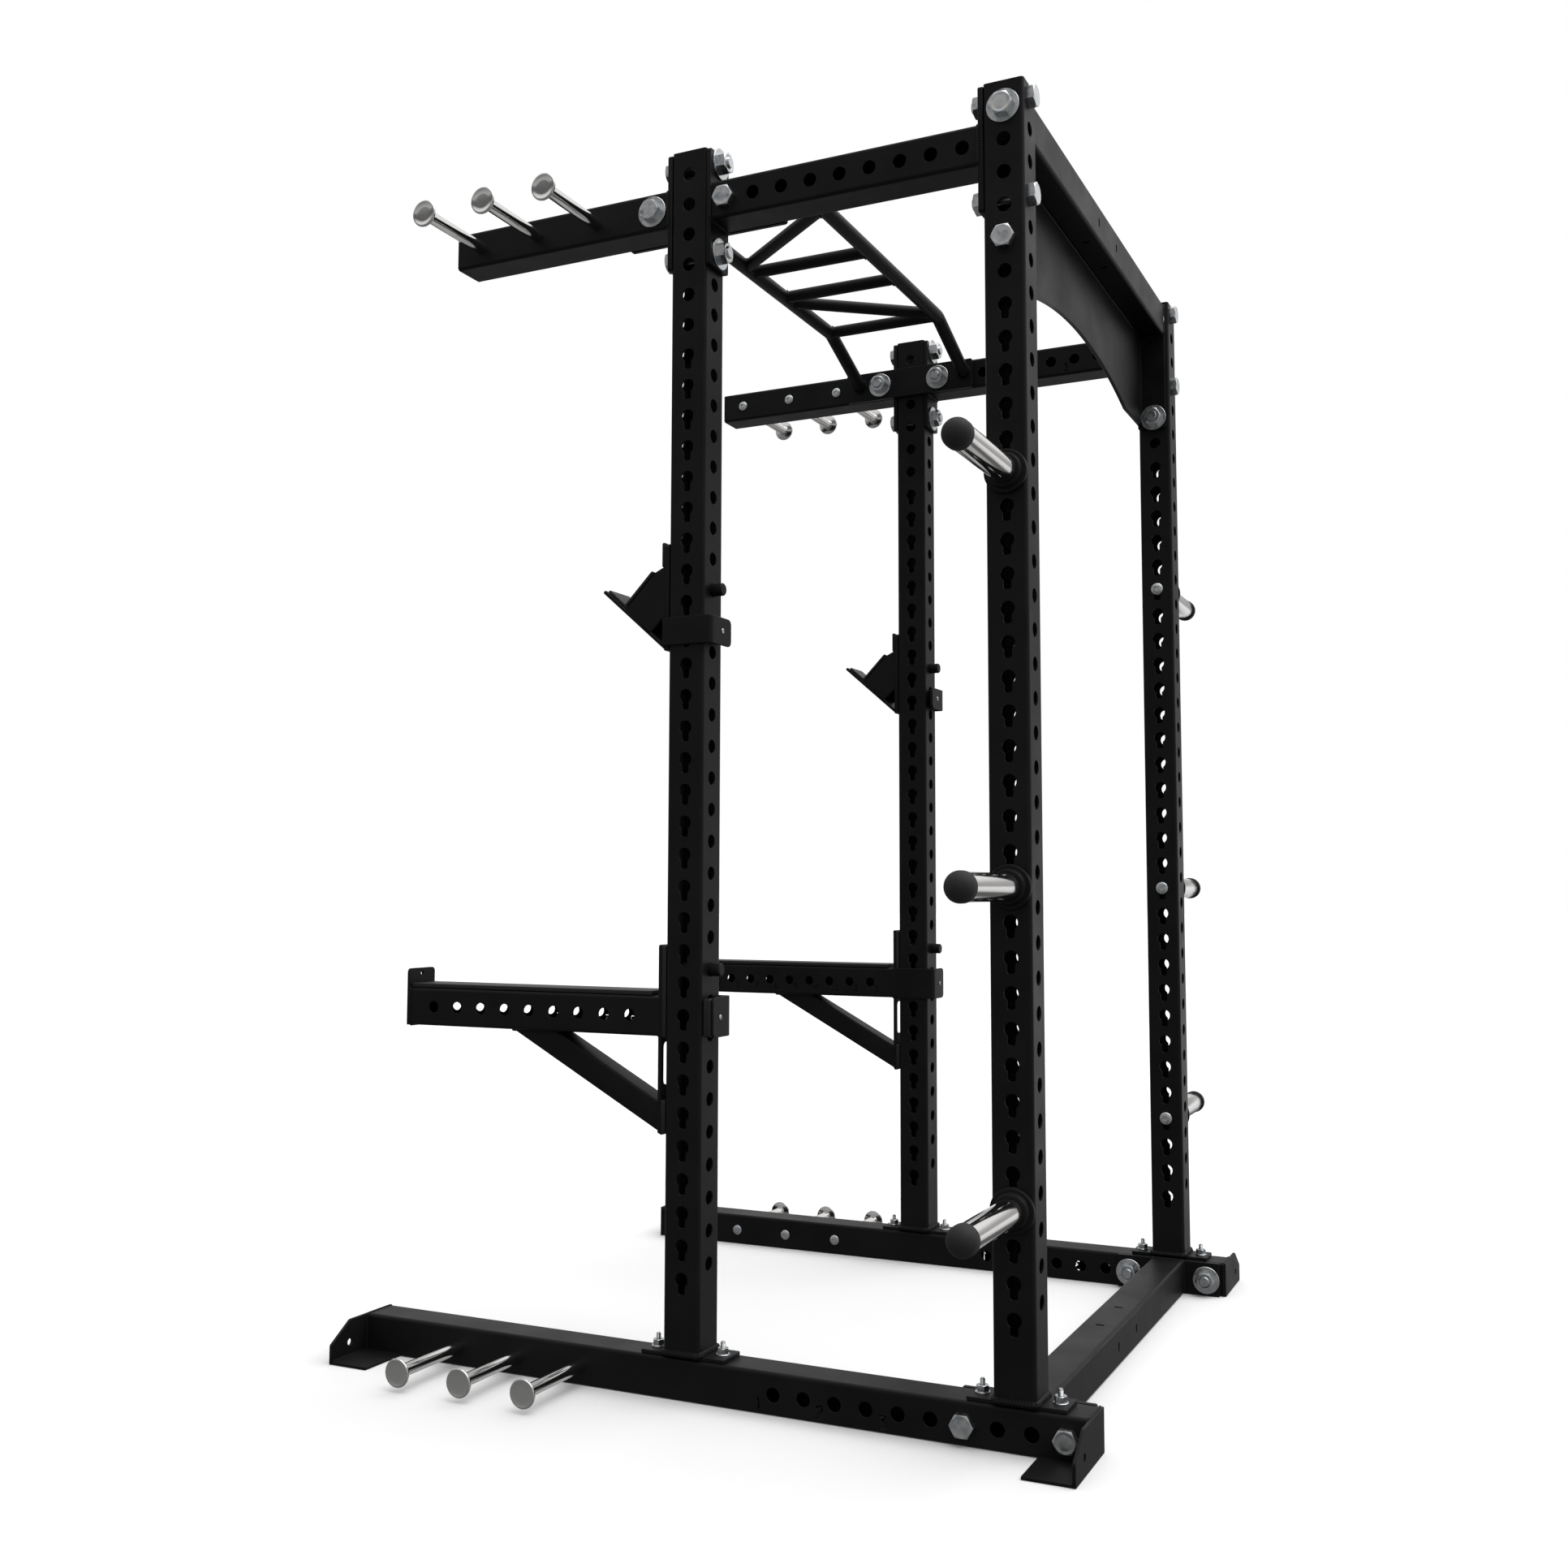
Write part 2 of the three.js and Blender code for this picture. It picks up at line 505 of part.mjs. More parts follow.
// Hex fastener along +Y: grip is the clamped length, front and rear are the heights of its two ends,
// and washer is the thickness of the washer under each end, or 0 for none.
function throughBolt(grip, front, rear, washer) {
  const seat = washer > 0 ? WASHER_R : HEX_R;
  const low = -GAP;
  const high = grip + GAP;
  return turned([
    [0, low - washer - front], [HEX_R, low - washer - front], [HEX_R, low - washer],
    ...(washer > 0 ? [[seat, low - washer], [seat, low]] : [[seat - 1, low]]),
    [BOLT_R, low], [BOLT_R, high],
    ...(washer > 0 ? [[seat, high], [seat, high + washer]] : [[seat - 1, high]]),
    [HEX_R, high + washer], [HEX_R, high + washer + rear], [0, high + washer + rear]], 8);
}

function addThroughBolts(name, body, startY) {
  ['upper', 'lower'].forEach((level, i) => {
    const z = FACE_HOLE_TOP - FLANGE_HOLES[i] * PITCH;
    addPair(`${name}_${level}`, body.translate([SIDE_X, startY, z]), zinc);
  });
}

// ---------- assembly ----------

const frontUpright = upright(FRONT_Y, [...FLANGE_HOLES, JHOOK_PIN_HOLE, SPOTTER_PIN_HOLE], []);
const rearUpright = upright(REAR_Y, FLANGE_HOLES, [...REAR_BEAM_HOLES, ...PLATE_PEG_HOLES]);
addPair('upright_front', frontUpright, powderCoat);
addPair('upright_rear', rearUpright, powderCoat);
addPair('base_rail', baseRail(), powderCoat);
add('base_crossmember', geometryOf(baseCrossmember()), powderCoat);
addPair('side_beam', sideBeam(), powderCoat);
addPair('top_extension', topExtension(), powderCoat);
add('rear_beam', geometryOf(rearBeam()), powderCoat);
add('pullup_frame', geometryOf(pullupFrame()), powderCoat);

PLATE_PEG_HOLES.forEach((hole, i) => {
  addPair(`plate_peg_${PLATE_PEG_NAMES[i]}`, platePeg(hole), chrome);
  addPair(`plate_peg_cap_${PLATE_PEG_NAMES[i]}`, platePegCap(hole), rubber);
});

for (let i = 0; i < 3; i += 1) {
  addPair(`band_peg_top_${i + 1}`, bandPeg(BAND_PEG_TOP_Y + i * BAND_PEG_PITCH, BEAM_Z), chrome);
  addPair(`band_peg_base_${i + 1}`, bandPeg(BAND_PEG_BASE_Y + i * BAND_PEG_PITCH, RAIL_HOLE_Z), chrome);
}

addPair('jhook', jhook(), powderCoat);
addPair('jhook_slope_liner', jhookSlopeLiner(), liner);
addPair('jhook_back_liner', jhookBackLiner(), liner);
addPair('jhook_tab_pad', tabPad(-12, 32, JHOOK_TAB_Y, JHOOK_WRAP[0] + 2, JHOOK_WRAP[1] - 2), liner);
addPair('spotter_arm', spotterArm(), powderCoat);
addPair('spotter_strip', spotterStrip(), liner);
addPair('spotter_tab_pad', tabPad(0, 32, SPOTTER_TAB_Y, ARM_LOW + 1, ARM_HIGH - 1), liner);

const flangeFront = HALF + FLANGE + GAP;
const frontBolt = throughBolt(TUBE + 2 * (FLANGE + GAP), HEAD_HEIGHT, NUT_HEIGHT, WASHER);
const rearBolt = throughBolt(TUBE + FLANGE + GAP, NUT_HEIGHT, HEAD_HEIGHT, 0);
addThroughBolts('front_bolt', frontBolt, FRONT_Y - flangeFront);
addThroughBolts('rear_bolt', rearBolt, REAR_Y - flangeFront);

export default cage;
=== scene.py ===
"""Power cage: the visual model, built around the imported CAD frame.

Lengths are millimetres in the row frame (+X to the right-hand side of the cage, -Y to the front,
+Z up, Z = 0 on the floor) and become metres when a Form turns into a Blender object. Solids are
made for the right-hand side and mirrored for the left.
"""

import math

import bmesh
import bpy
from mathutils import Matrix, Vector
from mathutils.geometry import tessellate_polygon


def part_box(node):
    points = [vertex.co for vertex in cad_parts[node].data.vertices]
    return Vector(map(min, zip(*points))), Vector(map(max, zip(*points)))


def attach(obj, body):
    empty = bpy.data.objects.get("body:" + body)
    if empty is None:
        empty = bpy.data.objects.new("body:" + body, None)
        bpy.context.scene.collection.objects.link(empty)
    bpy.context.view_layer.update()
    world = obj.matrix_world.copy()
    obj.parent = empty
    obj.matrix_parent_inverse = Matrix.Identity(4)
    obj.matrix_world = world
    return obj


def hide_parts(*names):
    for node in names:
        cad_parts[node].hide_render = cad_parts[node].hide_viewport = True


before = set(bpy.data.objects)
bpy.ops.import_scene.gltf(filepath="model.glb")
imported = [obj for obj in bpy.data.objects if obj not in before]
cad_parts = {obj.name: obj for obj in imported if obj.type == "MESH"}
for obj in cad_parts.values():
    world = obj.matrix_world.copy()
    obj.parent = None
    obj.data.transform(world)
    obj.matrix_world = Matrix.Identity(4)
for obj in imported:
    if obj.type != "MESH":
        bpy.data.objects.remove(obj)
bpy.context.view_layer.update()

MM = 0.001
SMOOTH_ANGLE = math.radians(35)


# ---------- sizes read from the frame ----------

def corners(node):
    """Lowest and highest corner of a CAD node, in millimetres."""
    low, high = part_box(node)
    return low / MM, high / MM


UPRIGHT_LOW, UPRIGHT_HIGH = corners("upright_front_right")
REAR_LOW, REAR_HIGH = corners("upright_rear_right")
SIDE_X = (UPRIGHT_LOW.x + UPRIGHT_HIGH.x) / 2
FRONT_Y = (UPRIGHT_LOW.y + UPRIGHT_HIGH.y) / 2
REAR_Y = (REAR_LOW.y + REAR_HIGH.y) / 2
TOP_Z = UPRIGHT_HIGH.z
TUBE = UPRIGHT_HIGH.x - UPRIGHT_LOW.x
HALF = TUBE / 2
OUTER_X = SIDE_X + HALF
INNER_X = SIDE_X - HALF

# ---------- sizes of the details ----------

GAP = 0.3
BOLT_GAP = 0.4

# Tubes and their holes
WALL = 3
CORNER = 6
PITCH = 60
SIDE_HOLE_TOP = TOP_Z - 47.6
FACE_HOLE_TOP = TOP_Z - 22.2
HOLE_R = 13.1
ROUND_SIDE_HOLES = 6
HOLES = 36
KEY_SLOT_HALF = 7.3
KEY_SLOT_LOW = 26.5
KEY_SLOT_CORNER = 4.5
SMALL_HOLE_R = 7
SLOT_X = 73.5
SLOT_LENGTH = 18
SLOT_WIDTH = 8
REAR_AND_TOP = ("+x", "+y")
REAR_AND_UNDERSIDE = ("+x", "-y")

# Foot plates
FOOT_PLATE = 7
FOOT_PLATE_HALF_WIDTH = 33
FOOT_PLATE_HALF_LENGTH = 87
FOOT_STUD_OFFSET = 68
FOOT_STUD_R = 4.8
FOOT_TOP = TUBE + GAP + FOOT_PLATE

# Base rails and crossmember
RAIL_HALF_LENGTH = 748.5
RAIL_HOLE_Y = 170.5
RAIL_HOLE_Z = 36
RAIL_HOLE_PITCH = 59.45
RAIL_HOLES = 10
BRACKET = 6
BRACKET_WING = 104
BRACKET_SLANT = 50
BRACKET_HOLE_Z = 31
BRACKET_FLANGE = 90
CROSS_PLATE_HALF = 118
CROSS_BOLT_Y = [RAIL_HOLE_Y + i * RAIL_HOLE_PITCH for i in (6, 9)]

# Side beams, top extensions and rear top beam
FLANGE = 9.5
FLANGE_LOW = TOP_Z - 233
FLANGE_HIGH = TOP_Z - 2
FRONT_BOLTS_APART = 3 * PITCH
REAR_BOLTS_APART = 4 * PITCH
BEAM_Z = TOP_Z - 109
BEAM_HOLES = 8
BEAM_HOLE_Y = 120.5
END_CAP = 4
GUSSET = 8
GUSSET_LOW = TOP_Z - 304.6
ARCH_HALF = 394
ARCH_RISE = 53
REAR_BEAM_DEPTH = 67

# Pull-up frame
GRIP_BOLT_Y = (-98.5, 61.5)
GRIP_Z = TOP_Z - 23
GRIP_END_Z = BEAM_Z + 4
GRIP_FRONT = -155.5
GRIP_REAR = 132.5
GRIP_BEND_X = 355
GRIP_BEND_R = 60
GRIP_RAIL_R = 16
GRIP_RUNG_R = 14
GRIP_RUNGS = [(-350, -350), (-118, -334), (-85, -85), (85, 85), (118, 334), (350, 350)]
GRIP_PLATE_FRONT, GRIP_PLATE_REAR = (corner.y for corner in corners("pullup_frame"))

# Fasteners
HEX_AF = 38
WASHER_R = 30.5
WASHER = 3.6
BOLT_R = 12
SHANK_R = BOLT_R - 0.4
HEAD_HEIGHT = 14
NUT_HEIGHT = 21
THREAD_SHOWS = 4

# Pegs
PLATE_PEG_R = 24
PLATE_PEG_CAP = 244
PLATE_PEG_CAP_R = 26
PLATE_PEG_LENGTH = 278
PLATE_PEG_DOME = 22
PLATE_PEG_FLANGE_R = 39
BAND_PEG_R = 12
BAND_PEG_DISC_R = 26.5
BAND_PEG_LENGTH = 188

# Pins, wrap plates and tabs of the J-hooks and spotter arms
PIN_R = 12.2
PIN_END_Y = 44.5
WRAP_PLATE = 5.2
TAB_PAD_FRONT = FRONT_Y + HALF + 1
TAB_PAD_OUTER = SIDE_X + 31
JHOOK_TAB_Y = 35.5
SPOTTER_TAB_Y = 36.5

# J-hook: heights, and corners of its seat as (y, z)
JHOOK_HOLE = 14
JHOOK_PLATE_FRONT = -65.3
JHOOK_PLATE_REAR = -55
JHOOK_LOW = 1386
JHOOK_HIGH = 1592.4
JHOOK_WRAP_LOW = 1395
JHOOK_WRAP_HIGH = 1448
JHOOK_LINER_LOW = 1547
JHOOK_LINER_HIGH = 1595.5
JHOOK_SIDE = 6
JHOOK_LIP = 7
JHOOK_FOOT = (-65.1, 1388.7)
JHOOK_SEAT = (-150.5, 1471.9)
JHOOK_TIP = (-202.6, 1507.9)
JHOOK_SLOPE_TOP = (-85.8, 1538.1)

# Spotter arm and its brace
ARM_HOLE = 26
ARM_LOW = 657
ARM_HEIGHT = 75
ARM_TOP = ARM_LOW + ARM_HEIGHT
ARM_WIDTH = 78.5
ARM_TIP = -651.5
ARM_ROOT = -70.5
ARM_HOLES = 9
ARM_HOLE_R = 11.5
ARM_HOLE_Y = -592.8
ARM_PITCH = 57.35
ARM_STOP_TOP = 770.4
ARM_PLATE = 6
ARM_PLATE_LOW = 477.4
ARM_PLATE_HIGH = 827.8
BRACE = 49
BRACE_FRONT = (-410, ARM_LOW)
BRACE_REAR = (-72.5, 477)


# ---------- outlines: lists of (u, v) points, anticlockwise ----------

def arc(cx, cy, radius, start, end, steps):
    angles = [math.radians(start + (end - start) * i / steps) for i in range(steps + 1)]
    return [(cx + radius * math.cos(a), cy + radius * math.sin(a)) for a in angles]


def circle(cx, cy, radius, steps=24):
    return arc(cx, cy, radius, 0, 360, steps)[:-1]


def turn(steps):
    """Angles of one full turn, in radians."""
    return [2 * math.pi * i / steps for i in range(steps)]


def rectangle(u0, u1, v0, v1):
    return [(u0, v0), (u1, v0), (u1, v1), (u0, v1)]


def corner_of(loop, i):
    """A point of an outline, and the directions into it and out of it."""
    p = Vector(loop[i])
    return p, (p - Vector(loop[i - 1])).normalized(), (Vector(loop[(i + 1) % len(loop)]) - p).normalized()


def fillet(points, radii, steps=5):
    """Rounds the corners of an outline; radii is one number or one for each corner."""
    if not hasattr(radii, "__len__"):
        radii = [radii] * len(points)
    result = []
    for i, radius in enumerate(radii):
        p, into, after = corner_of(points, i)
        before = -into
        if radius == 0:
            result.append(tuple(p))
            continue
        half = before.angle(after) / 2
        reach = radius / math.tan(half)
        centre = p + (before + after).normalized() * (radius / math.sin(half))
        first = p + before * reach - centre
        last = p + after * reach - centre
        swing = math.atan2(first.x * last.y - first.y * last.x, first.dot(last))
        for k in range(steps + 1):
            a = swing * k / steps
            spoke = Vector((first.x * math.cos(a) - first.y * math.sin(a),
                            first.x * math.sin(a) + first.y * math.cos(a)))
            result.append(tuple(centre + spoke))
    return result


def rounded(u0, u1, v0, v1, radii, steps=4):
    """Rectangle with rounded corners."""
    return fillet(rectangle(u0, u1, v0, v1), radii, steps)


def offset(loop, distance):
    """Moves an anticlockwise outline outward by a distance, inward if it is negative."""
    result = []
    for i in range(len(loop)):
        p, before, after = corner_of(loop, i)
        miter = Vector((before.y + after.y, -before.x - after.x))
        scale = 2 / max(miter.length_squared, 0.5)
        result.append(tuple(p + miter * (scale * distance)))
    return result


def keyhole(u, v):
    """Round hole with a narrower slot below it."""
    angle = math.degrees(math.asin(KEY_SLOT_HALF / HOLE_R))
    head = arc(u, v, HOLE_R, -90 + angle, 270 - angle, 22)
    r = KEY_SLOT_CORNER
    reach, low = KEY_SLOT_HALF - r, v - KEY_SLOT_LOW + r
    return head + arc(u - reach, low, r, 180, 270, 4) + arc(u + reach, low, r, 270, 360, 4)


def slot(u, v, half_u, half_v):
    """Rounded slot, long along the larger half size."""
    radius = min(half_u, half_v) * 0.9
    return rounded(u - half_u, u + half_u, v - half_v, v + half_v, radius, 5)


DIGITS = {
    1: [[(0.2, 0.75), (0.5, 1), (0.5, 0)]],
    2: [[(0, 0.8), (0.2, 1), (0.8, 1), (1, 0.75), (0.05, 0), (1, 0)]],
    3: [[(0, 1), (1, 1), (0.5, 0.6), (1, 0.4), (1, 0.15), (0.8, 0), (0, 0)]],
    4: [[(0.8, 0), (0.8, 1), (0, 0.3), (0.5, 0.3)]],
    5: [[(1, 1), (0.1, 1), (0, 0.55), (0.8, 0.6), (1, 0.4), (1, 0.15), (0.8, 0), (0, 0)]],
    6: [[(0.9, 1), (0.25, 0.85), (0, 0.4), (0.15, 0), (0.85, 0), (1, 0.35), (0.4, 0.45)]],
    7: [[(0, 1), (1, 1), (0.35, 0)]],
    8: [[(0.6, 0.6), (0.1, 0.72), (0.15, 1), (0.85, 1), (0.9, 0.75)],
        [(0.35, 0.42), (0, 0.3), (0.1, 0), (0.9, 0), (1, 0.25), (0.8, 0.42)]],
    9: [[(0.1, 0), (0.75, 0.15), (1, 0.6), (0.85, 1), (0.15, 1), (0, 0.65), (0.6, 0.55)]],
}


def digit(number, u, v, height, flip=False, stroke=0.16):
    """Stencil-cut digit as hole outlines, its middle at (u, v), mirrored in u if flip is true."""
    loops = []
    width = height * 0.55
    for points in DIGITS[number]:
        line = [Vector(((x - 0.5) * width * (-1 if flip else 1), (y - 0.5) * height)) for x, y in points]
        sides = ([], [])
        for i, p in enumerate(line):
            before = (p - line[i - 1]).normalized() if i > 0 else None
            after = (line[i + 1] - p).normalized() if i < len(line) - 1 else None
            a, b = before or after, after or before
            miter = Vector((a.y + b.y, -a.x - b.x))
            shift = miter * (stroke * height / max(miter.length_squared, 1.2))
            sides[0].append(p + shift)
            sides[1].append(p - shift)
        loop = [(u + q.x, v + q.y) for q in sides[0] + sides[1][::-1]]
        loops.append(anticlockwise(loop))
    return loops


def anticlockwise(loop):
    area = sum(a[0] * b[1] - b[0] * a[1] for a, b in zip(loop, loop[1:] + loop[:1]))
    return loop if area > 0 else loop[::-1]


# ---------- forms: faces in smooth groups ----------

class Form:
    """Faces in millimetres. The faces of one add call shade smoothly together, up to SMOOTH_ANGLE."""

    def __init__(self):
        self.verts = []
        self.faces = []
        self.groups = []
        self.count = 0

    def add(self, verts, faces):
        start = len(self.verts)
        self.verts += [Vector(v) for v in verts]
        self.faces += [[start + i for i in f] for f in faces]
        self.groups += [self.count] * len(faces)
        self.count += 1
        return self

    def join(self, *others):
        for other in others:
            start = len(self.verts)
            self.verts += other.verts
            self.faces += [[start + i for i in f] for f in other.faces]
            self.groups += [self.count + g for g in other.groups]
            self.count += other.count
        return self

    def placed(self, matrix):
        result = Form()
        result.verts = [matrix @ v for v in self.verts]
        turned = matrix.to_3x3().determinant() < 0
        result.faces = [f[::-1] for f in self.faces] if turned else [list(f) for f in self.faces]
        result.groups = list(self.groups)
        result.count = self.count
        return result

    def moved(self, x, y, z):
        return self.placed(Matrix.Translation((x, y, z)))

    def mirrored(self):
        return self.placed(Matrix.Diagonal((-1, 1, 1, 1)))


def joined(*forms):
    return Form().join(*forms)


def band(rings, closed=True):
    """Quads between rings of the same number of points, as a form."""
    size = len(rings[0])
    faces = []
    for r in range(len(rings) - 1):
        for i in range(size if closed else size - 1):
            j = (i + 1) % size
            faces.append((r * size + i, r * size + j, (r + 1) * size + j, (r + 1) * size + i))
    return Form().add([p for ring in rings for p in ring], faces)


def filled(loops, lift, facing_up=True):
    """A flat face with holes; lift turns a (u, v) point into a 3-D point."""
    flat = [p for loop in loops for p in loop]
    triangles = tessellate_polygon([[Vector((u, v, 0)) for u, v in loop] for loop in loops])
    faces = []
    for a, b, c in triangles:
        (ax, ay), (bx, by), (cx, cy) = flat[a], flat[b], flat[c]
        up = (bx - ax) * (cy - ay) - (by - ay) * (cx - ax) > 0
        faces.append((a, b, c) if up == facing_up else (a, c, b))
    return Form().add([lift(u, v) for u, v in flat], faces)


def plate(outline, w0, w1, holes=(), chamfer=0.8):
    """Flat plate with an outline in (u, v), between heights w0 and w1, its edges chamfered."""
    outline = anticlockwise(outline)
    form = Form()
    for w, up in ((w1, True), (w0, False)):
        loops = [offset(outline, -chamfer)] + [offset(h, chamfer) for h in holes]
        form.join(filled(loops, lambda u, v, w=w: (u, v, w), up))
    for loop, sign in [(outline, -1)] + [(h, 1) for h in holes]:
        rim = offset(loop, sign * chamfer)
        rings = [(rim, w0), (loop, w0 + chamfer), (loop, w1 - chamfer), (rim, w1)]
        form.join(band([[(u, v, w) for u, v in ring] for ring, w in rings]))
    return form


IN_YZ = Matrix(((0, 0, 1, 0), (1, 0, 0, 0), (0, 1, 0, 0), (0, 0, 0, 1)))
IN_XZ = Matrix(((1, 0, 0, 0), (0, 0, -1, 0), (0, 1, 0, 0), (0, 0, 0, 1)))


def plate_yz(outline, x0, x1, holes=(), chamfer=0.8):
    return plate(outline, x0, x1, holes, chamfer).placed(IN_YZ)


def plate_xz(outline, y0, y1, holes=(), chamfer=0.8):
    return plate(outline, -y1, -y0, holes, chamfer).placed(IN_XZ)


def square_tube(length, holes, width=TUBE, depth=TUBE, corner=CORNER, wall=WALL, chamfer=0.4):
    """Open tube along +Z from 0, with round corners. holes maps '+x', '+y', '-x' or '-y' to outlines in
    (s, z), s running so that (s, z, outward) is right-handed."""
    form = Form()
    up = Vector((0, 0, 1))
    for name, x, y in (("+x", 1, 0), ("+y", 0, 1), ("-x", -1, 0), ("-y", 0, -1)):
        normal, across = Vector((x, y, 0)), Vector((-y, x, 0))
        distance, half = (width / 2, depth / 2) if x else (depth / 2, width / 2)
        flat = half - corner
        border = rectangle(-flat, flat, 0, length)
        cuts = holes.get(name, [])

        def lift(depth_in, n=normal, a=across, d=distance):
            return lambda s, z: n * (d - depth_in) + a * s + up * z

        form.join(filled([border] + [offset(h, chamfer) for h in cuts], lift(0)))
        form.join(filled([border] + cuts, lift(wall), False))
        for hole in cuts:
            rings = [(offset(hole, chamfer), 0), (hole, chamfer), (hole, wall)]
            form.join(band([[lift(d)(s, z) for s, z in ring] for ring, d in rings]))
    perimeters = {}
    for inset in (0, wall):
        perimeter = []
        for sx, sy, start in ((1, 1, 0), (-1, 1, 90), (-1, -1, 180), (1, -1, 270)):
            points = arc(sx * (width / 2 - corner), sy * (depth / 2 - corner), corner - inset,
                         start, start + 90, 4)
            rings = [[(x, y, z) for x, y in points] for z in (0, length)]
            form.join(band(rings if inset == 0 else rings[::-1], closed=False))
            perimeter += points
        perimeters[inset] = perimeter
    for z, order in ((0, (wall, 0)), (length, (0, wall))):
        form.join(band([[(x, y, z) for x, y in perimeters[inset]] for inset in order]))
    return form


# Places a tube made along local Z so that it runs along the row's Y or X axis.
ALONG_Y = Matrix(((1, 0, 0, 0), (0, 0, 1, 0), (0, -1, 0, 0), (0, 0, 0, 1)))
ALONG_X = IN_YZ


def ring(radius, z, steps):
    """Points of a level circle around the local Z axis."""
    return [(radius * math.cos(a), radius * math.sin(a), z) for a in turn(steps)]


def lathe(profile, steps=32):
    """Turned solid around Z from a profile of (radius, height) points, from the axis to the axis."""
    return band([ring(radius, z, steps) for radius, z in profile])


def facing(direction, x, y, z):
    """Matrix that stands local +Z along a direction at a point."""
    rotation = Vector((0, 0, 1)).rotation_difference(Vector(direction))
    return Matrix.Translation((x, y, z)) @ rotation.to_matrix().to_4x4()


def hex_prism(height, across=HEX_AF, bore=0, base=0.0):
    """Hexagon with a chamfered top and, for a nut, a bored middle, standing on Z = base."""
    count = 36
    inner = across / 2
    crown = inner * 0.94
    top = base + height
    foot, shoulder = [], []
    for a in turn(count):
        reach = inner / math.cos((a + math.pi / 6) % (math.pi / 3) - math.pi / 6)
        x, y = reach * math.cos(a), reach * math.sin(a)
        foot.append((x, y, base))
        shoulder.append((x, y, top - (reach - crown) * 0.5))
    throat = [(bore * 1.12, top), (bore, top - 1.2), (bore, base)]
    dish = [(crown * 0.72, top - 0.5), (0, top)]
    profile = [(crown, top)] + (throat if bore else dish)
    rings = [foot, shoulder] + [ring(radius, z, count) for radius, z in profile]
    form = joined(*[band(both) for both in zip(rings, rings[1:])])
    return form.join(band([ring(bore, base, count), foot]))


def washer(radius=WASHER_R, thickness=WASHER, bore=BOLT_R + 1, base=0.0):
    chamfer = 0.7
    top = base + thickness
    return lathe([(bore, base), (radius, base), (radius, top - chamfer), (radius - chamfer, top),
                  (bore, top), (bore, base)])


def stud(radius, low, high, pitch=2.0):
    """Threaded rod end from low to high, with a chamfered tip."""
    profile = [(0, low)]
    z = low
    while z + pitch < high - 1.5:
        profile += [(radius, z), (radius - pitch * 0.45, z + pitch / 2)]
        z += pitch
    profile += [(radius - 0.3, z), (radius - 1.6, high), (0, high)]
    return lathe(profile, 24)


def sweep(path, radius, steps, closed=False, ripple=0.0, ripple_length=5.5):
    """Round bar along a path. ripple makes a weld bead's scaled surface."""
    points = [Vector(p) for p in path]
    count = len(points)
    rings = []
    normal = None
    travelled = 0.0
    for i, p in enumerate(points):
        ahead = points[(i + 1) % count] if closed or i < count - 1 else p
        behind = points[i - 1] if closed or i > 0 else p
        tangent = (ahead - behind).normalized()
        if normal is None:
            seed = Vector((0, 0, 1)) if abs(tangent.z) < 0.8 else Vector((1, 0, 0))
            normal = (seed - tangent * seed.dot(tangent)).normalized()
        normal = (normal - tangent * normal.dot(tangent)).normalized()
        side = tangent.cross(normal)
        travelled += (p - points[i - 1]).length if i else 0
        r = radius * (1 + ripple * math.sin(2 * math.pi * travelled / ripple_length))
        rings.append([p + normal * (r * math.cos(a)) + side * (r * math.sin(a)) for a in turn(steps)])
    if closed:
        rings.append(rings[0])
    form = band(rings)
    if not closed:
        for end in (rings[0], rings[-1][::-1]):
            form.join(band([end, [sum(end, Vector()) / steps] * steps]))
    return form


def subdivide(path, step, closed=False):
    """Adds points to a path so that they are about a step apart."""
    points = [Vector(p) for p in path]
    result = []
    pairs = zip(points, points[1:] + points[:1]) if closed else zip(points, points[1:])
    for a, b in pairs:
        parts = max(1, round((b - a).length / step))
        result += [a.lerp(b, k / parts) for k in range(parts)]
    return result if closed else result + [points[-1]]


def bead(path, radius=3.0, closed=True):
    """Weld bead along a path."""
    return sweep(subdivide(path, 1.5, closed), radius, 8, closed, 0.12)


def square_bead(place, width=TUBE, depth=TUBE, radius=3.0):
    """Weld bead around a square tube at local Z = 0, just outside its faces."""
    loop = rounded(-width / 2, width / 2, -depth / 2, depth / 2, CORNER)
    return bead([(x, y, 0) for x, y in loop], radius).placed(place)


def arched_bead(place, up, radius=3.0):
    """Weld bead over the two sides and the top of a tube that lies on the floor; up is -1 or +1, the local
    Y direction that points up."""
    low, high = -up * (HALF - radius - 0.5), up * HALF
    route = fillet([(-HALF, low), (-HALF, high), (HALF, high), (HALF, low)], [0, CORNER, CORNER, 0], 4)
    return bead([(x, y, 0) for x, y in route], radius, False).placed(place)


# ---------- materials ----------

def new_material(name, color, roughness, metallic, specular=0.5):
    material = bpy.data.materials.new(name)
    material.use_nodes = True
    sockets = material.node_tree.nodes["Principled BSDF"].inputs
    sockets["Base Color"].default_value = (*color, 1)
    sockets["Roughness"].default_value = roughness
    sockets["Metallic"].default_value = metallic
    sockets["Specular IOR Level"].default_value = specular
    return material


def new_node(tree, kind, **inputs):
    """A shader node with some inputs set; an underscore in an input's name stands for a space."""
    node = tree.nodes.new("ShaderNode" + kind)
    for name, value in inputs.items():
        node.inputs[name.replace("_", " ")].default_value = value
    return node


def link_noise(tree, scale, detail, stretch=(1, 1, 1)):
    """A noise texture in the object's own coordinates; returns its Fac output."""
    where = new_node(tree, "TexCoord")
    mapping = new_node(tree, "Mapping", Scale=stretch)
    noise = new_node(tree, "TexNoise", Scale=scale, Detail=detail)
    tree.links.new(where.outputs["Object"], mapping.inputs["Vector"])
    tree.links.new(mapping.outputs["Vector"], noise.inputs["Vector"])
    return noise.outputs["Fac"]


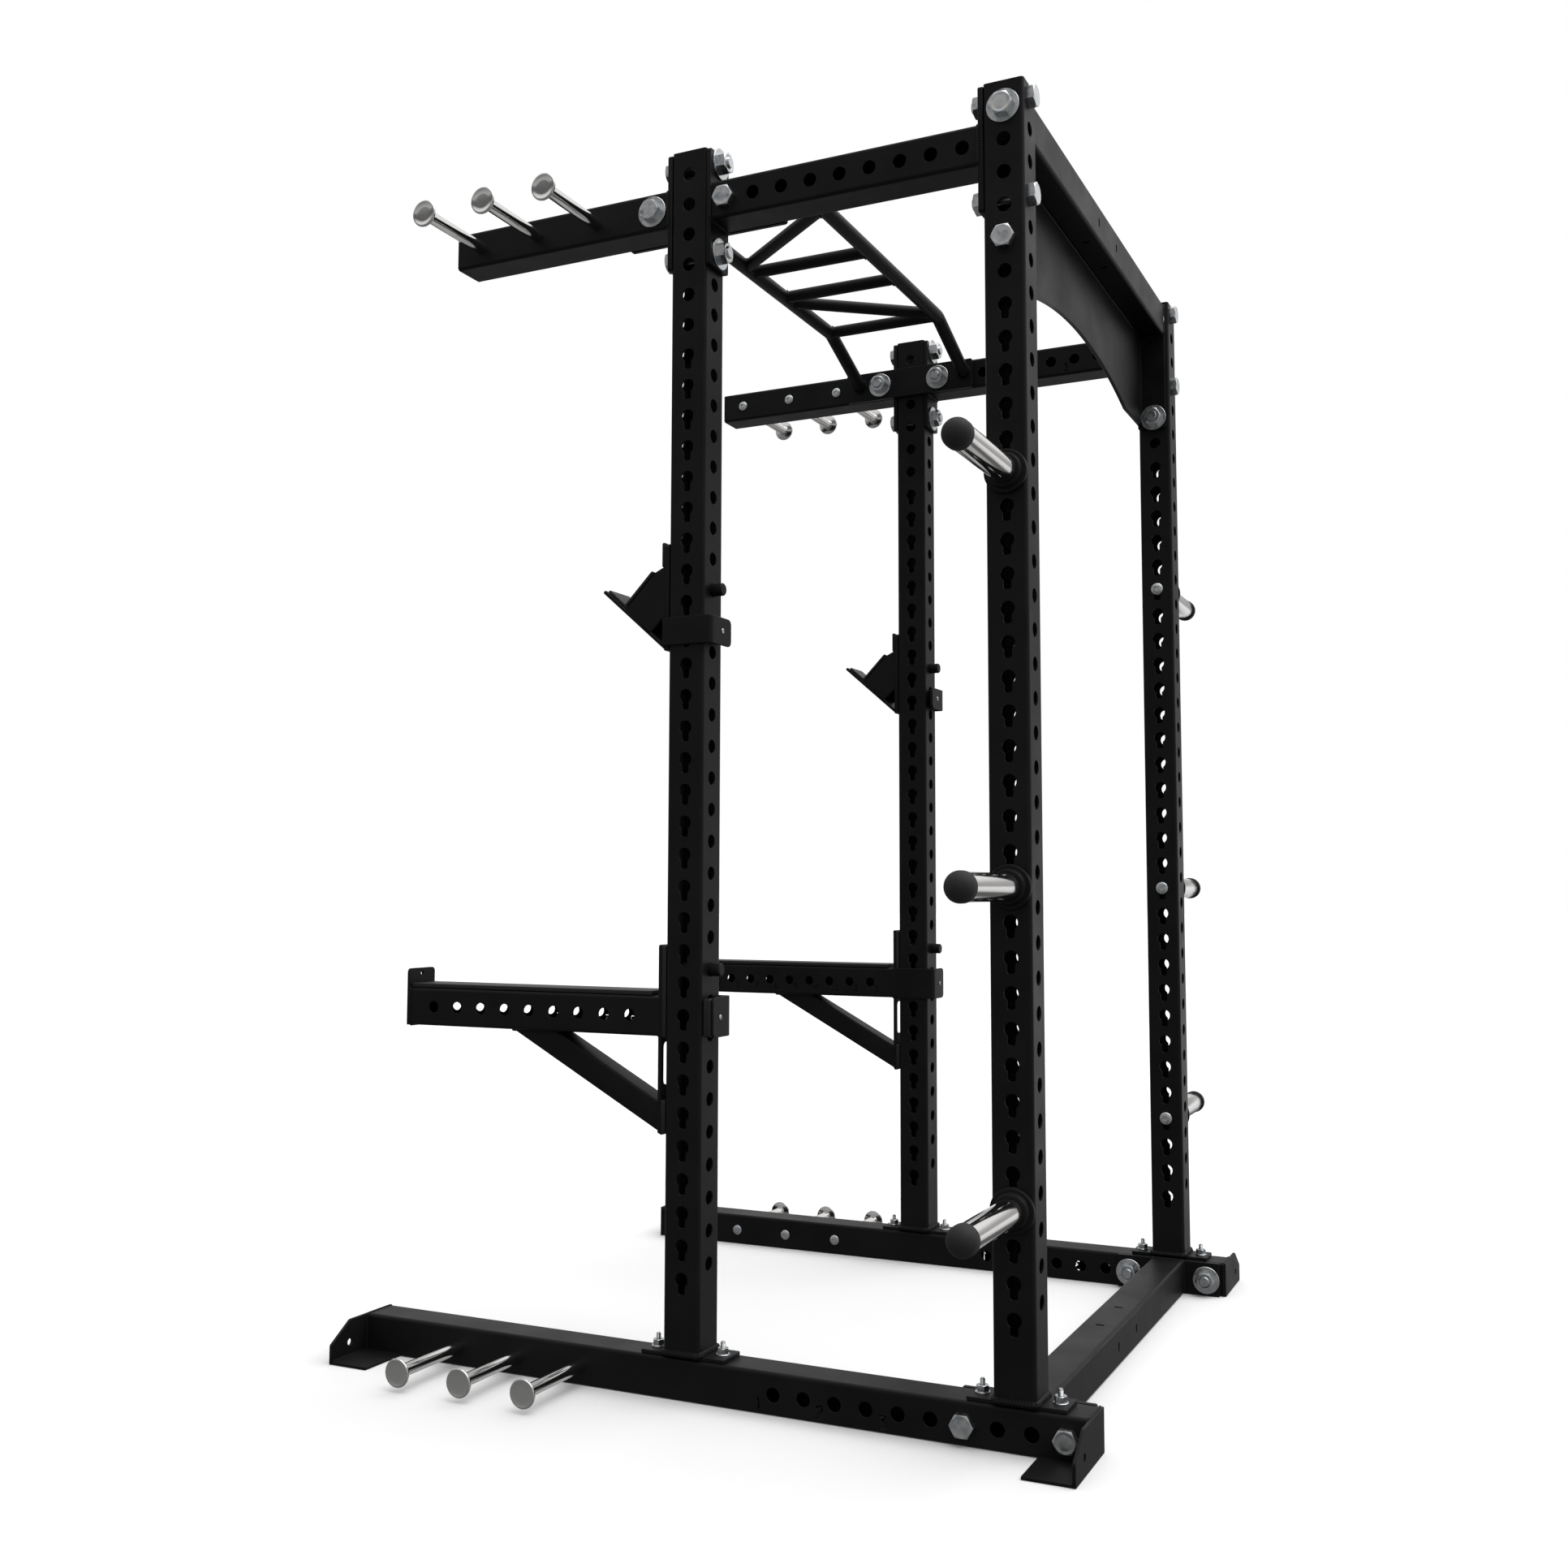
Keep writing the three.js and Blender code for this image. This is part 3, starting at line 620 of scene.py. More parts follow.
def color_ramp(tree, factor, stops):
    """Colour ramp of a factor; stops are (position, colour) in rising order."""
    ramp = new_node(tree, "ValToRGB")
    elements = ramp.color_ramp.elements
    while len(elements) < len(stops):
        elements.new(1.0)
    for element, (position, color) in zip(elements, stops):
        element.position = position
        element.color = (*color, 1)
    tree.links.new(factor, ramp.inputs["Fac"])
    return ramp


def surface(name, color, metallic, specular, noise, stops, roughness, bump, grain=None):
    """Material whose colour and roughness follow one noise, and whose bump follows the grain, or else that
    noise. A noise is (scale, detail), with its stretch if it has one; bump is (strength, distance)."""
    low, high = roughness
    strength, distance = bump
    material = new_material(name, color, low, metallic, specular)
    tree = material.node_tree
    sockets = tree.nodes["Principled BSDF"].inputs
    field = link_noise(tree, *noise)
    if stops:
        tree.links.new(color_ramp(tree, field, stops).outputs["Color"], sockets["Base Color"])
    spread = new_node(tree, "MapRange", From_Min=0.3, From_Max=0.7, To_Min=low, To_Max=high)
    relief = new_node(tree, "Bump", Strength=strength, Distance=distance)
    tree.links.new(field, spread.inputs["Value"])
    tree.links.new(spread.outputs["Result"], sockets["Roughness"])
    tree.links.new(link_noise(tree, *grain) if grain else field, relief.inputs["Height"])
    tree.links.new(relief.outputs["Normal"], sockets["Normal"])
    return material


# Black powder coat: fine orange-peel grain and slight cloudiness
COAT = surface("powder_coat", (0.008, 0.008, 0.0083), 0.0, 0.15, (9, 3),
               [(0.35, (0.0066, 0.0067, 0.007)), (0.65, (0.0098, 0.0097, 0.0099))],
               (0.38, 0.5), (0.35, 0.0004), (650, 2))
# Bright zinc plating with a faint blue and yellow bloom and a slightly pitted surface
ZINC = surface("zinc", (0.62, 0.64, 0.65), 1.0, 0.5, (70, 4),
               [(0.35, (0.50, 0.53, 0.56)), (0.55, (0.66, 0.68, 0.69)), (0.75, (0.70, 0.68, 0.62))],
               (0.2, 0.42), (0.25, 0.0003), (420, 3))
# Polished chrome with fine lengthwise polishing marks
CHROME = surface("chrome", (0.72, 0.71, 0.70), 1.0, 0.5, (60, 3, (0.6, 8, 8)), None,
                 (0.07, 0.17), (0.04, 0.0002))
# Moulded black rubber with a dull skin
RUBBER = surface("rubber", (0.018, 0.018, 0.018), 0.0, 0.35, (260, 4),
                 [(0.3, (0.013, 0.013, 0.013)), (0.7, (0.026, 0.025, 0.025))], (0.6, 0.8), (0.2, 0.0003))
# Black wear-resistant plastic with a cut and milled surface
LINER = surface("liner", (0.016, 0.016, 0.017), 0.0, 0.3, (120, 3, (1, 6, 1)),
                [(0.3, (0.012, 0.012, 0.0125)), (0.7, (0.02, 0.02, 0.0205))], (0.42, 0.58), (0.15, 0.0003))


# ---------- pieces ----------

def piece(name, form, material, body="frame", stands_for=()):
    """Turns a form into a Blender object that rides on a body and may replace CAD nodes."""
    mesh = bpy.data.meshes.new(name)
    mesh.from_pydata([v * MM for v in form.verts], [], form.faces)
    mesh.materials.append(material)
    bm = bmesh.new()
    bm.from_mesh(mesh)
    group = bm.faces.layers.int.new("group")
    for face, number in zip(bm.faces, form.groups):
        face[group] = number
        face.smooth = True
    bmesh.ops.remove_doubles(bm, verts=bm.verts, dist=1e-6)
    bmesh.ops.dissolve_degenerate(bm, edges=bm.edges, dist=1e-6)
    bmesh.ops.recalc_face_normals(bm, faces=bm.faces)
    for edge in bm.edges:
        faces = edge.link_faces
        same = len(faces) == 2 and faces[0][group] == faces[1][group]
        edge.smooth = same and edge.calc_face_angle(math.pi) < SMOOTH_ANGLE
    bm.faces.layers.int.remove(group)
    bm.to_mesh(mesh)
    bm.free()
    obj = bpy.data.objects.new(name, mesh)
    bpy.context.scene.collection.objects.link(obj)
    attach(obj, body)
    if stands_for:
        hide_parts(*stands_for)


def pair(name, form, material, body="frame", replaces=True):
    """The piece on the right and its mirror image on the left. body may hold {side}. A form with digits is
    a function of whether they are flipped, so that they read right on both sides."""
    right, left = (form(False), form(True)) if callable(form) else (form, form)
    for side, shape in (("right", right), ("left", left.mirrored())):
        nodes = [f"{name}_{side}"] if replaces else []
        piece(f"{name}_{side}_visual" if replaces else f"{name}_{side}", shape, material,
              body.format(side=side), nodes)


# ---------- uprights ----------

def upright(centre_y):
    """Perforated tube on a welded foot plate."""
    side = []
    for n in range(HOLES):
        z = SIDE_HOLE_TOP - n * PITCH - FOOT_TOP
        side.append(circle(0, z, HOLE_R) if n < ROUND_SIDE_HOLES else keyhole(0, z))
    face = [circle(0, FACE_HOLE_TOP - n * PITCH - FOOT_TOP, HOLE_R) for n in range(HOLES)]
    tube = square_tube(TOP_Z - FOOT_TOP, {"+x": side, "-x": side, "+y": face, "-y": face})
    studs = [circle(0, sign * FOOT_STUD_OFFSET, SMALL_HOLE_R, 16) for sign in (-1, 1)]
    half_width, half_length = FOOT_PLATE_HALF_WIDTH, FOOT_PLATE_HALF_LENGTH
    foot = plate(rounded(-half_width, half_width, -half_length, half_length, 3, 3), -FOOT_PLATE, 0, studs)
    weld = square_bead(Matrix.Translation((0, 0, 1.5)), radius=6)
    return joined(tube, foot, weld).moved(SIDE_X, centre_y, FOOT_TOP)


def make_uprights():
    for name, centre_y in (("upright_front", FRONT_Y), ("upright_rear", REAR_Y)):
        pair(name, upright(centre_y), COAT)


# ---------- tubes along the row's axes ----------

def tube_y(x, z, y0, y1, outlines=(), outer_only=(), inner_only=(), width=TUBE, height=TUBE):
    """Square tube along Y, its middle line at (x, z). outlines are (y, z) cuts through both side walls, the
    others through the outer or the inner one."""
    outer = [anticlockwise([(z - b, a - y0) for a, b in loop]) for loop in [*outlines, *outer_only]]
    inner = [anticlockwise([(b - z, a - y0) for a, b in loop]) for loop in [*outlines, *inner_only]]
    tube = square_tube(y1 - y0, {"+x": outer, "-x": inner}, width, height)
    return tube.placed(Matrix.Translation((x, y0, z)) @ ALONG_Y)


def tube_x(y, z, x0, x1, slots, slotted_faces, width=TUBE, height=TUBE):
    """Square tube along X, its middle line at (y, z), with a short slot across some faces at each x."""
    cuts = [slot(0, x - x0, SLOT_LENGTH / 2, SLOT_WIDTH / 2) for x in slots]
    tube = square_tube(x1 - x0, {face: cuts for face in slotted_faces}, width, height)
    return tube.placed(Matrix.Translation((x0, y, z)) @ ALONG_X)


def end_beads(x, z, y_list, width=TUBE, height=TUBE, radius=3.0):
    """Weld beads around a tube along Y at each y."""
    beads = [square_bead(Matrix.Translation((x, y, z)) @ ALONG_Y, width, height, radius) for y in y_list]
    return joined(*beads)


# ---------- fasteners ----------

def hex_head(washer_under=True):
    """Bolt head standing on z = 0, with or without a washer under it."""
    if washer_under:
        return joined(washer(), hex_prism(HEAD_HEIGHT, base=WASHER))
    return hex_prism(HEAD_HEIGHT)


def nut_end(washer_under=True):
    """Nut and the threaded end of its bolt, standing on z = 0."""
    base = WASHER if washer_under else 0
    nut = hex_prism(NUT_HEIGHT - THREAD_SHOWS, bore=BOLT_R, base=base)
    parts = [nut, stud(BOLT_R - 0.2, base - 2, base + NUT_HEIGHT)]
    return joined(washer(), *parts) if washer_under else joined(*parts)


def screw_head(radius, height):
    """Domed head with a hexagon socket, standing on z = 0."""
    socket = radius * 0.42
    dome = [(radius * math.cos(a), height * (0.35 + 0.65 * math.sin(a)))
            for a in (math.radians(12 * i) for i in range(6))]
    lip = dome[-1][1]
    return lathe([(0, 0), (radius, 0)] + dome + [(socket, lip + 0.2), (socket * 0.94, lip - 2.5),
                                                  (0, lip - 2.8)], 28)


def fastener(direction, place, low, low_end, high, high_end):
    """Bolt shank along a direction through a place, with a form standing on its low and its high end."""
    along, place = Vector(direction), Vector(place)
    shank = lathe([(0, low), (SHANK_R, low), (SHANK_R, high), (0, high)], 24)
    return joined(low_end.placed(facing(-along, *(place + along * low))),
                  high_end.placed(facing(along, *(place + along * high))),
                  shank.placed(facing(along, *place)))


def make_through_bolts():
    """Long bolts from front to back through the uprights and the flanges on them."""
    reach = HALF + FLANGE + BOLT_GAP
    for level, drop in (("upper", 0), ("lower", FRONT_BOLTS_APART)):
        place = (SIDE_X, 0, FACE_HOLE_TOP - drop)
        front = fastener((0, 1, 0), place, FRONT_Y - reach, hex_head(), FRONT_Y + reach, nut_end())
        rear = fastener((0, 1, 0), place, REAR_Y - reach, nut_end(False), REAR_Y + HALF, hex_head(False))
        pair(f"front_bolt_{level}", front, ZINC)
        pair(f"rear_bolt_{level}", rear, ZINC)


def make_cross_bolts():
    """Bolts from the outer face into the cage, with their nuts on the inner flanges."""
    bolts = {
        "rear_beam_bolt_upper": (REAR_Y, SIDE_HOLE_TOP, True),
        "rear_beam_bolt_lower": (REAR_Y, SIDE_HOLE_TOP - REAR_BOLTS_APART, False),
        "pullup_bolt_front": (GRIP_BOLT_Y[0], BEAM_Z, True),
        "pullup_bolt_rear": (GRIP_BOLT_Y[1], BEAM_Z, False),
        "crossmember_bolt_front": (CROSS_BOLT_Y[0], RAIL_HOLE_Z, False),
        "crossmember_bolt_rear": (CROSS_BOLT_Y[1], RAIL_HOLE_Z, False),
    }
    inside = INNER_X - FLANGE - BOLT_GAP
    for name, (y, z, washer_under) in bolts.items():
        form = fastener((1, 0, 0), (0, y, z), inside, nut_end(), OUTER_X, hex_head(washer_under))
        pair(name, form, ZINC, replaces=False)


def make_foot_studs():
    """Two threaded studs with washers and nuts on each foot plate."""
    r = FOOT_STUD_R
    one = joined(washer(13, 2.2, r + 0.6), hex_prism(10.5, 19.5, r, 2.2), stud(r, 0, 24, 1.5))
    for name, centre_y in (("front", FRONT_Y), ("rear", REAR_Y)):
        both = [one.moved(SIDE_X, centre_y + sign * FOOT_STUD_OFFSET, FOOT_TOP) for sign in (-1, 1)]
        pair(f"foot_studs_{name}", joined(*both), ZINC, replaces=False)


# ---------- frame members ----------

def end_bracket(sign):
    """End plate of a rail with its wing beside the rail, and the anchor flange on the floor."""
    wing, slant = OUTER_X + BRACKET_WING, OUTER_X + BRACKET_SLANT
    outline = [(INNER_X, 0), (wing, 0), (wing, HALF), (slant, TUBE), (INNER_X, TUBE)]
    end = sign * RAIL_HALF_LENGTH
    inside = end - sign * BRACKET
    hole = circle(slant, BRACKET_HOLE_Z, SMALL_HOLE_R, 16)
    end_plate = plate_xz(fillet(outline, [2, 3, 7, 7, 2], 4), min(end, inside), max(end, inside), [hole])
    near, far = sorted((end - sign * BRACKET_FLANGE, inside))
    flange = plate(rounded(OUTER_X - 1, wing - 1, near, far, 1.5, 3), 0.2, BRACKET)
    fold = bead([(OUTER_X + 2, inside, BRACKET), (wing - 4, inside, BRACKET)], 2.2, False)
    return joined(end_plate, flange, fold)


def base_rail(flip):
    """Rail on the floor with numbered holes, and an end bracket at each end."""
    end = RAIL_HALF_LENGTH - BRACKET
    cuts = [circle(RAIL_HOLE_Y + RAIL_HOLE_PITCH * i, RAIL_HOLE_Z, HOLE_R) for i in range(RAIL_HOLES)]
    digits = []
    for n in range(3):
        digits += digit(n + 1, RAIL_HOLE_Y + 2 * RAIL_HOLE_PITCH * n - 28, 19, 20, flip)
    tube = tube_y(SIDE_X, HALF, -end, end, cuts, outer_only=digits)
    beads = [arched_bead(Matrix.Translation((SIDE_X, y, HALF)) @ ALONG_Y, -1, 2.2) for y in (-end, end)]
    return joined(tube, end_bracket(-1), end_bracket(1), *beads)


def base_crossmember():
    """Tube between the base rails, with a flange bolted to each rail's inner face."""
    inside = INNER_X - FLANGE - GAP
    form = tube_x(REAR_Y, HALF, -inside, inside, (-SLOT_X, SLOT_X), REAR_AND_TOP)
    outline = rounded(REAR_Y - CROSS_PLATE_HALF, REAR_Y + CROSS_PLATE_HALF, 0.2, TUBE, 3, 3)
    holes = [circle(y, RAIL_HOLE_Z, HOLE_R) for y in CROSS_BOLT_Y]
    flange = plate_yz(outline, inside, INNER_X - GAP, holes)
    side = joined(flange, arched_bead(Matrix.Translation((inside, REAR_Y, HALF)) @ ALONG_X, 1))
    return form.join(side, side.mirrored())


def beam_flange(y0, y1):
    """End plate of a side beam or extension, with its two bolt holes."""
    holes = [circle(SIDE_X, FACE_HOLE_TOP - drop, HOLE_R) for drop in (0, FRONT_BOLTS_APART)]
    return plate_xz(rounded(INNER_X, OUTER_X, FLANGE_LOW, FLANGE_HIGH, 5), y0, y1, holes)


def side_beam(flip):
    """Numbered beam between the front and the rear upright, with a flange on each."""
    front, rear = FRONT_Y + HALF + GAP, REAR_Y - HALF - GAP
    start, end = front + FLANGE, rear - FLANGE
    cuts = [circle(BEAM_HOLE_Y + PITCH * i, BEAM_Z, HOLE_R) for i in range(BEAM_HOLES)]
    cuts.append(circle(GRIP_BOLT_Y[1], BEAM_Z, HOLE_R))
    digits = []
    for n in range(3):
        digits += digit(n + 1, BEAM_HOLE_Y + PITCH + 2 * PITCH * n - 22, BEAM_Z - 18, 16, not flip)
    tube = tube_y(SIDE_X, BEAM_Z, start, end, cuts, inner_only=digits)
    flanges = beam_flange(front, start), beam_flange(end, rear)
    return joined(tube, *flanges, end_beads(SIDE_X, BEAM_Z, (start, end)))


def top_extension():
    """Beam with a closed tip in front of the front upright."""
    back = FRONT_Y - HALF - GAP
    end = back - FLANGE
    tip = corners("top_extension_right")[0].y
    tube = tube_y(SIDE_X, BEAM_Z, tip + END_CAP, end, [circle(GRIP_BOLT_Y[0], BEAM_Z, HOLE_R)])
    cap_outline = rounded(INNER_X, OUTER_X, BEAM_Z - HALF, BEAM_Z + HALF, CORNER)
    cap = plate_xz(cap_outline, tip, tip + END_CAP - 0.2)
    return joined(tube, cap, beam_flange(end, back), end_beads(SIDE_X, BEAM_Z, (end,)))


def rear_beam():
    """Box tube with slots, arched gusset plate in front of it and an end plate at each side."""
    end = INNER_X - GAP
    inside = end - FLANGE
    front = REAR_Y - HALF
    gusset_back = front + GUSSET
    back = front + REAR_BEAM_DEPTH
    middle = (gusset_back + back) / 2
    depth = back - gusset_back
    top = SIDE_HOLE_TOP + HALF
    slots = (-SLOT_X, SLOT_X)
    tube = tube_x(middle, SIDE_HOLE_TOP, -inside, inside, slots, REAR_AND_UNDERSIDE, depth)
    radius = (ARCH_HALF ** 2 + ARCH_RISE ** 2) / (2 * ARCH_RISE)
    half_angle = math.degrees(math.asin(ARCH_HALF / radius))
    arch = arc(0, GUSSET_LOW + ARCH_RISE - radius, radius, 90 - half_angle, 90 + half_angle, 32)
    outline = [(inside, GUSSET_LOW), (inside, top - 1), (-inside, top - 1), (-inside, GUSSET_LOW)]
    gusset = plate_xz(outline + arch[::-1], front, gusset_back - 0.1)
    holes = [circle(REAR_Y, SIDE_HOLE_TOP - drop, HOLE_R) for drop in (0, REAR_BOLTS_APART)]
    end_plate = plate_yz(rounded(front, back, GUSSET_LOW - 9, top, 4), inside, end, holes)
    around = square_bead(Matrix.Translation((inside, middle, SIDE_HOLE_TOP)) @ ALONG_X, depth)
    low = top - TUBE
    seam = bead([(inside, gusset_back, GUSSET_LOW + 8), (inside, gusset_back, low - 4)], 3.4, False)
    under = bead([(sign * (inside - 6), gusset_back, low - 0.5) for sign in (-1, 1)], 2.4, False)
    side = joined(end_plate, around, seam)
    return joined(tube, gusset, under, side, side.mirrored())


def rung_bead(place, along, sign):
    """Weld bead where a rung, which runs along a direction, meets its rail's round side at a place."""
    across = Vector((0, 0, 1))
    beside = along.cross(across)
    radius = GRIP_RUNG_R + 0.6
    route = []
    for a in turn(24):
        spot = across * (math.sin(a) * radius) + beside * (math.cos(a) * radius)
        depth = math.sqrt(GRIP_RAIL_R ** 2 - (GRIP_RUNG_R * math.sin(a)) ** 2)
        reach = (depth - sign * spot.y) / along.y
        route.append(place + spot + along * (sign * max(reach, 0)))
    return bead(route, 2.2)


def pullup_frame():
    """Two bent rails with straight and slanted rungs, welded to an end plate at each side."""
    end = INNER_X - GAP
    inside = end - FLANGE
    outline = rounded(GRIP_PLATE_FRONT, GRIP_PLATE_REAR, BEAM_Z - HALF, BEAM_Z + HALF, 5)
    side = plate_yz(outline, inside, end, [circle(y, BEAM_Z, HOLE_R) for y in GRIP_BOLT_Y])
    form = Form()
    profile = [(-inside, GRIP_END_Z), (-GRIP_BEND_X, GRIP_Z), (GRIP_BEND_X, GRIP_Z), (inside, GRIP_END_Z)]
    profile = fillet(profile, [0, GRIP_BEND_R, GRIP_BEND_R, 0], 10)
    for y in (GRIP_FRONT, GRIP_REAR):
        form.join(sweep([(x, y, z) for x, z in profile], GRIP_RAIL_R, 24))
        wide, high = GRIP_RAIL_R + 1, GRIP_RAIL_R + 3
        foot = [(inside + 0.5, y + wide * math.cos(a), GRIP_END_Z + high * math.sin(a)) for a in turn(24)]
        side.join(bead(foot))
    for front_x, rear_x in GRIP_RUNGS:
        start = Vector((front_x, GRIP_FRONT, GRIP_Z))
        finish = Vector((rear_x, GRIP_REAR, GRIP_Z))
        along = (finish - start).normalized()
        form.join(sweep([start, finish], GRIP_RUNG_R, 20), rung_bead(start, along, 1),
                  rung_bead(finish, along, -1))
    return form.join(side, side.mirrored())


def single(name, form):
    """A frame piece that crosses the middle and replaces one CAD node."""
    piece(f"{name}_visual", form, COAT, stands_for=[name])


def make_frame():
    pair("base_rail", base_rail, COAT)
    single("base_crossmember", base_crossmember())
    pair("side_beam", side_beam, COAT)
    pair("top_extension", top_extension(), COAT)
    single("rear_beam", rear_beam())
    single("pullup_frame", pullup_frame())


# ---------- pegs ----------

def on_outer_face(form, y, z):
    return form.placed(facing((1, 0, 0), OUTER_X, y, z))


def rounded_step(radius, height, edge):
    """Profile points of a rounded rim at a radius and height."""
    return arc(radius - edge, height - edge, edge, 0, 90, 4)


def make_plate_pegs():
    """Chrome sleeves on a stepped black flange, with a domed rubber cap and a screw on the inner face."""
    bore = PLATE_PEG_R + 0.2
    disc = [(0, GAP), (PLATE_PEG_FLANGE_R, GAP)] + rounded_step(PLATE_PEG_FLANGE_R, 8.5, 2.2)
    collar = [(32, 8.5), (31, 10)] + rounded_step(30.5, 18, 3) + [(bore, 18), (bore, 12), (0, 12)]
    flange = lathe(disc + collar, 56)
    end = PLATE_PEG_CAP + 10
    sleeve = lathe([(0, 9), (PLATE_PEG_R, 9)] + rounded_step(PLATE_PEG_R, end, 1.5) + [(0, end)], 56)
    mouth = PLATE_PEG_CAP
    dome = PLATE_PEG_LENGTH - PLATE_PEG_DOME
    crown = [(PLATE_PEG_CAP_R * math.cos(a), dome + PLATE_PEG_DOME * math.sin(a))
             for a in (math.radians(9 * i) for i in range(10))]
    cap = lathe([(24.1, mouth + 4), (24.1, mouth), (25.4, mouth), (PLATE_PEG_CAP_R, mouth + 0.8)] + crown
                + [(0, PLATE_PEG_LENGTH)], 56)
    screw = screw_head(14.5, 6.5).placed(facing((-1, 0, 0), INNER_X, 0, 0))
    for name in ("top", "middle", "bottom"):
        low, high = corners(f"plate_peg_{name}_right")
        z = (low.z + high.z) / 2
        pair(f"plate_peg_{name}", on_outer_face(sleeve, REAR_Y, z), CHROME)
        pair(f"plate_peg_cap_{name}", on_outer_face(cap, REAR_Y, z), RUBBER)
        pair(f"plate_peg_flange_{name}", on_outer_face(flange, REAR_Y, z), COAT, replaces=False)
        pair(f"plate_peg_screw_{name}", screw.moved(0, REAR_Y, z), ZINC, replaces=False)


def make_band_pegs():
    """Chrome rods with a flat round end, held by a screw on the inner face."""
    end, r, disc = BAND_PEG_LENGTH, BAND_PEG_R, BAND_PEG_DISC_R
    rod = lathe([(0, GAP), (r, GAP), (r, end - 8), (12.6, end - 6.6), (14, end - 6), (24.5, end - 6),
                 (26, end - 5.2), (disc, end - 3.6)] + rounded_step(disc, end, 2.4)
                + [(22.8, end - 0.1), (21.5, end - 0.7), (r, end - 1), (0, end - 1.1)], 48)
    screw = screw_head(12.5, 5.5).placed(facing((-1, 0, 0), INNER_X, 0, 0))
    for place in ("top", "base"):
        for i in (1, 2, 3):
            low, high = corners(f"band_peg_{place}_{i}_right")
            y, z = (low.y + high.y) / 2, (low.z + high.z) / 2
            pair(f"band_peg_{place}_{i}", on_outer_face(rod, y, z), CHROME)
            pair(f"band_peg_screw_{place}_{i}", screw.moved(0, y, z), ZINC, replaces=False)


# ---------- J-hooks and spotter arms ----------

def wrap(side, front_y, tab_y, z0, z1, tab_end):
    """Bent plate that runs back beside the upright and turns behind it; side is +1 outside, -1 inside."""
    inner, outer, back = HALF + GAP, HALF + GAP + WRAP_PLATE, tab_y + WRAP_PLATE
    bend = [(inner, front_y), (outer, front_y), (outer, back), (HALF - 12, back), (HALF - 12, tab_y),
            (inner, tab_y)]
    bend = fillet(bend, [0, 0, 9, 0, 0, 3], 6)
    sheet = plate([(SIDE_X + side * u, y) for u, y in bend], z0, z1)
    tab_outline = rounded(-tab_end, HALF - 10, z0, z1, [11, 0, 0, 11], 6)
    tab = plate_xz([(SIDE_X + side * u, z) for u, z in tab_outline], tab_y + 0.1, back - 0.1)
    return joined(sheet, tab)


def tab_details(name, body, tab_y, inner_x, low, high, screw_x, screw_z):
    """Plastic pad between the upright and the tab behind it, and the small screw that holds the pad."""
    outline = rounded(inner_x, TAB_PAD_OUTER, low, high, 3, 3)
    pad = plate_xz(outline, TAB_PAD_FRONT, tab_y - 0.2, chamfer=1.4)
    screw = screw_head(5, 1.8).placed(facing((0, 1, 0), screw_x, tab_y + WRAP_PLATE, screw_z))
    pair(f"{name}_tab_pad", pad, LINER, body)
    pair(f"{name}_tab_screw", screw, ZINC, body, replaces=False)


def hook_pin(hole, front_y):
    """Round pin with a chamfered rear end, in a front hole counted from the top."""
    end = PIN_END_Y
    profile = [(0, front_y), (PIN_R, front_y), (PIN_R, end - 2), (PIN_R - 2, end), (0, end)]
    return lathe(profile, 40).placed(facing((0, 1, 0), SIDE_X, 0, FACE_HOLE_TOP - hole * PITCH))


def strip_on_line(start, end, low, high, x0, x1, edge):
    """Flat bar between two (y, z) points, from low to high above their line."""
    a, b = Vector(start), Vector(end)
    along = (b - a).normalized()
    up = Vector((-along.y, along.x))
    outline = [tuple(a + up * low), tuple(b + up * low), tuple(b + up * high), tuple(a + up * high)]
    return plate_yz(fillet(anticlockwise(outline), edge, 4), x0, x1, chamfer=1.0)


def jhook():
    """Back plate, sloped seat and lip between two side plates, wrap plate and pin."""
    back_outline = rounded(INNER_X, OUTER_X, JHOOK_LOW, JHOOK_HIGH, [3, 3, 7, 7])
    back = plate_xz(back_outline, JHOOK_PLATE_FRONT, JHOOK_PLATE_REAR)
    front, low, high = JHOOK_PLATE_FRONT, JHOOK_WRAP_HIGH + 1, 1546
    side_outline = [JHOOK_SEAT, (-97, 1420.5), (-69.5, low), (front, low), (front, high), (-70, high),
                    JHOOK_SLOPE_TOP]
    side_outline = fillet(side_outline, [1, 2, 3, 0, 0, 4, 3], 3)
    sides = [plate_yz(side_outline, x, x + JHOOK_SIDE) for x in (INNER_X, OUTER_X - JHOOK_SIDE)]
    lip = strip_on_line(JHOOK_TIP, JHOOK_FOOT, 0, JHOOK_LIP, INNER_X, OUTER_X, 2.5)
    slope = strip_on_line(JHOOK_SEAT, JHOOK_SLOPE_TOP, -6, -0.4, INNER_X + 5, OUTER_X - 5, 1)
    shell = wrap(1, front - 0.2, JHOOK_TAB_Y, JHOOK_WRAP_LOW, JHOOK_WRAP_HIGH, HALF + 1)
    welds = [bead([(x, -66, 1452), (x, -66, 1540)], 2.4, False) for x in (OUTER_X - 3, INNER_X + 3)]
    return joined(back, *sides, lip, slope, shell, hook_pin(JHOOK_HOLE, JHOOK_PLATE_REAR - 4), *welds)


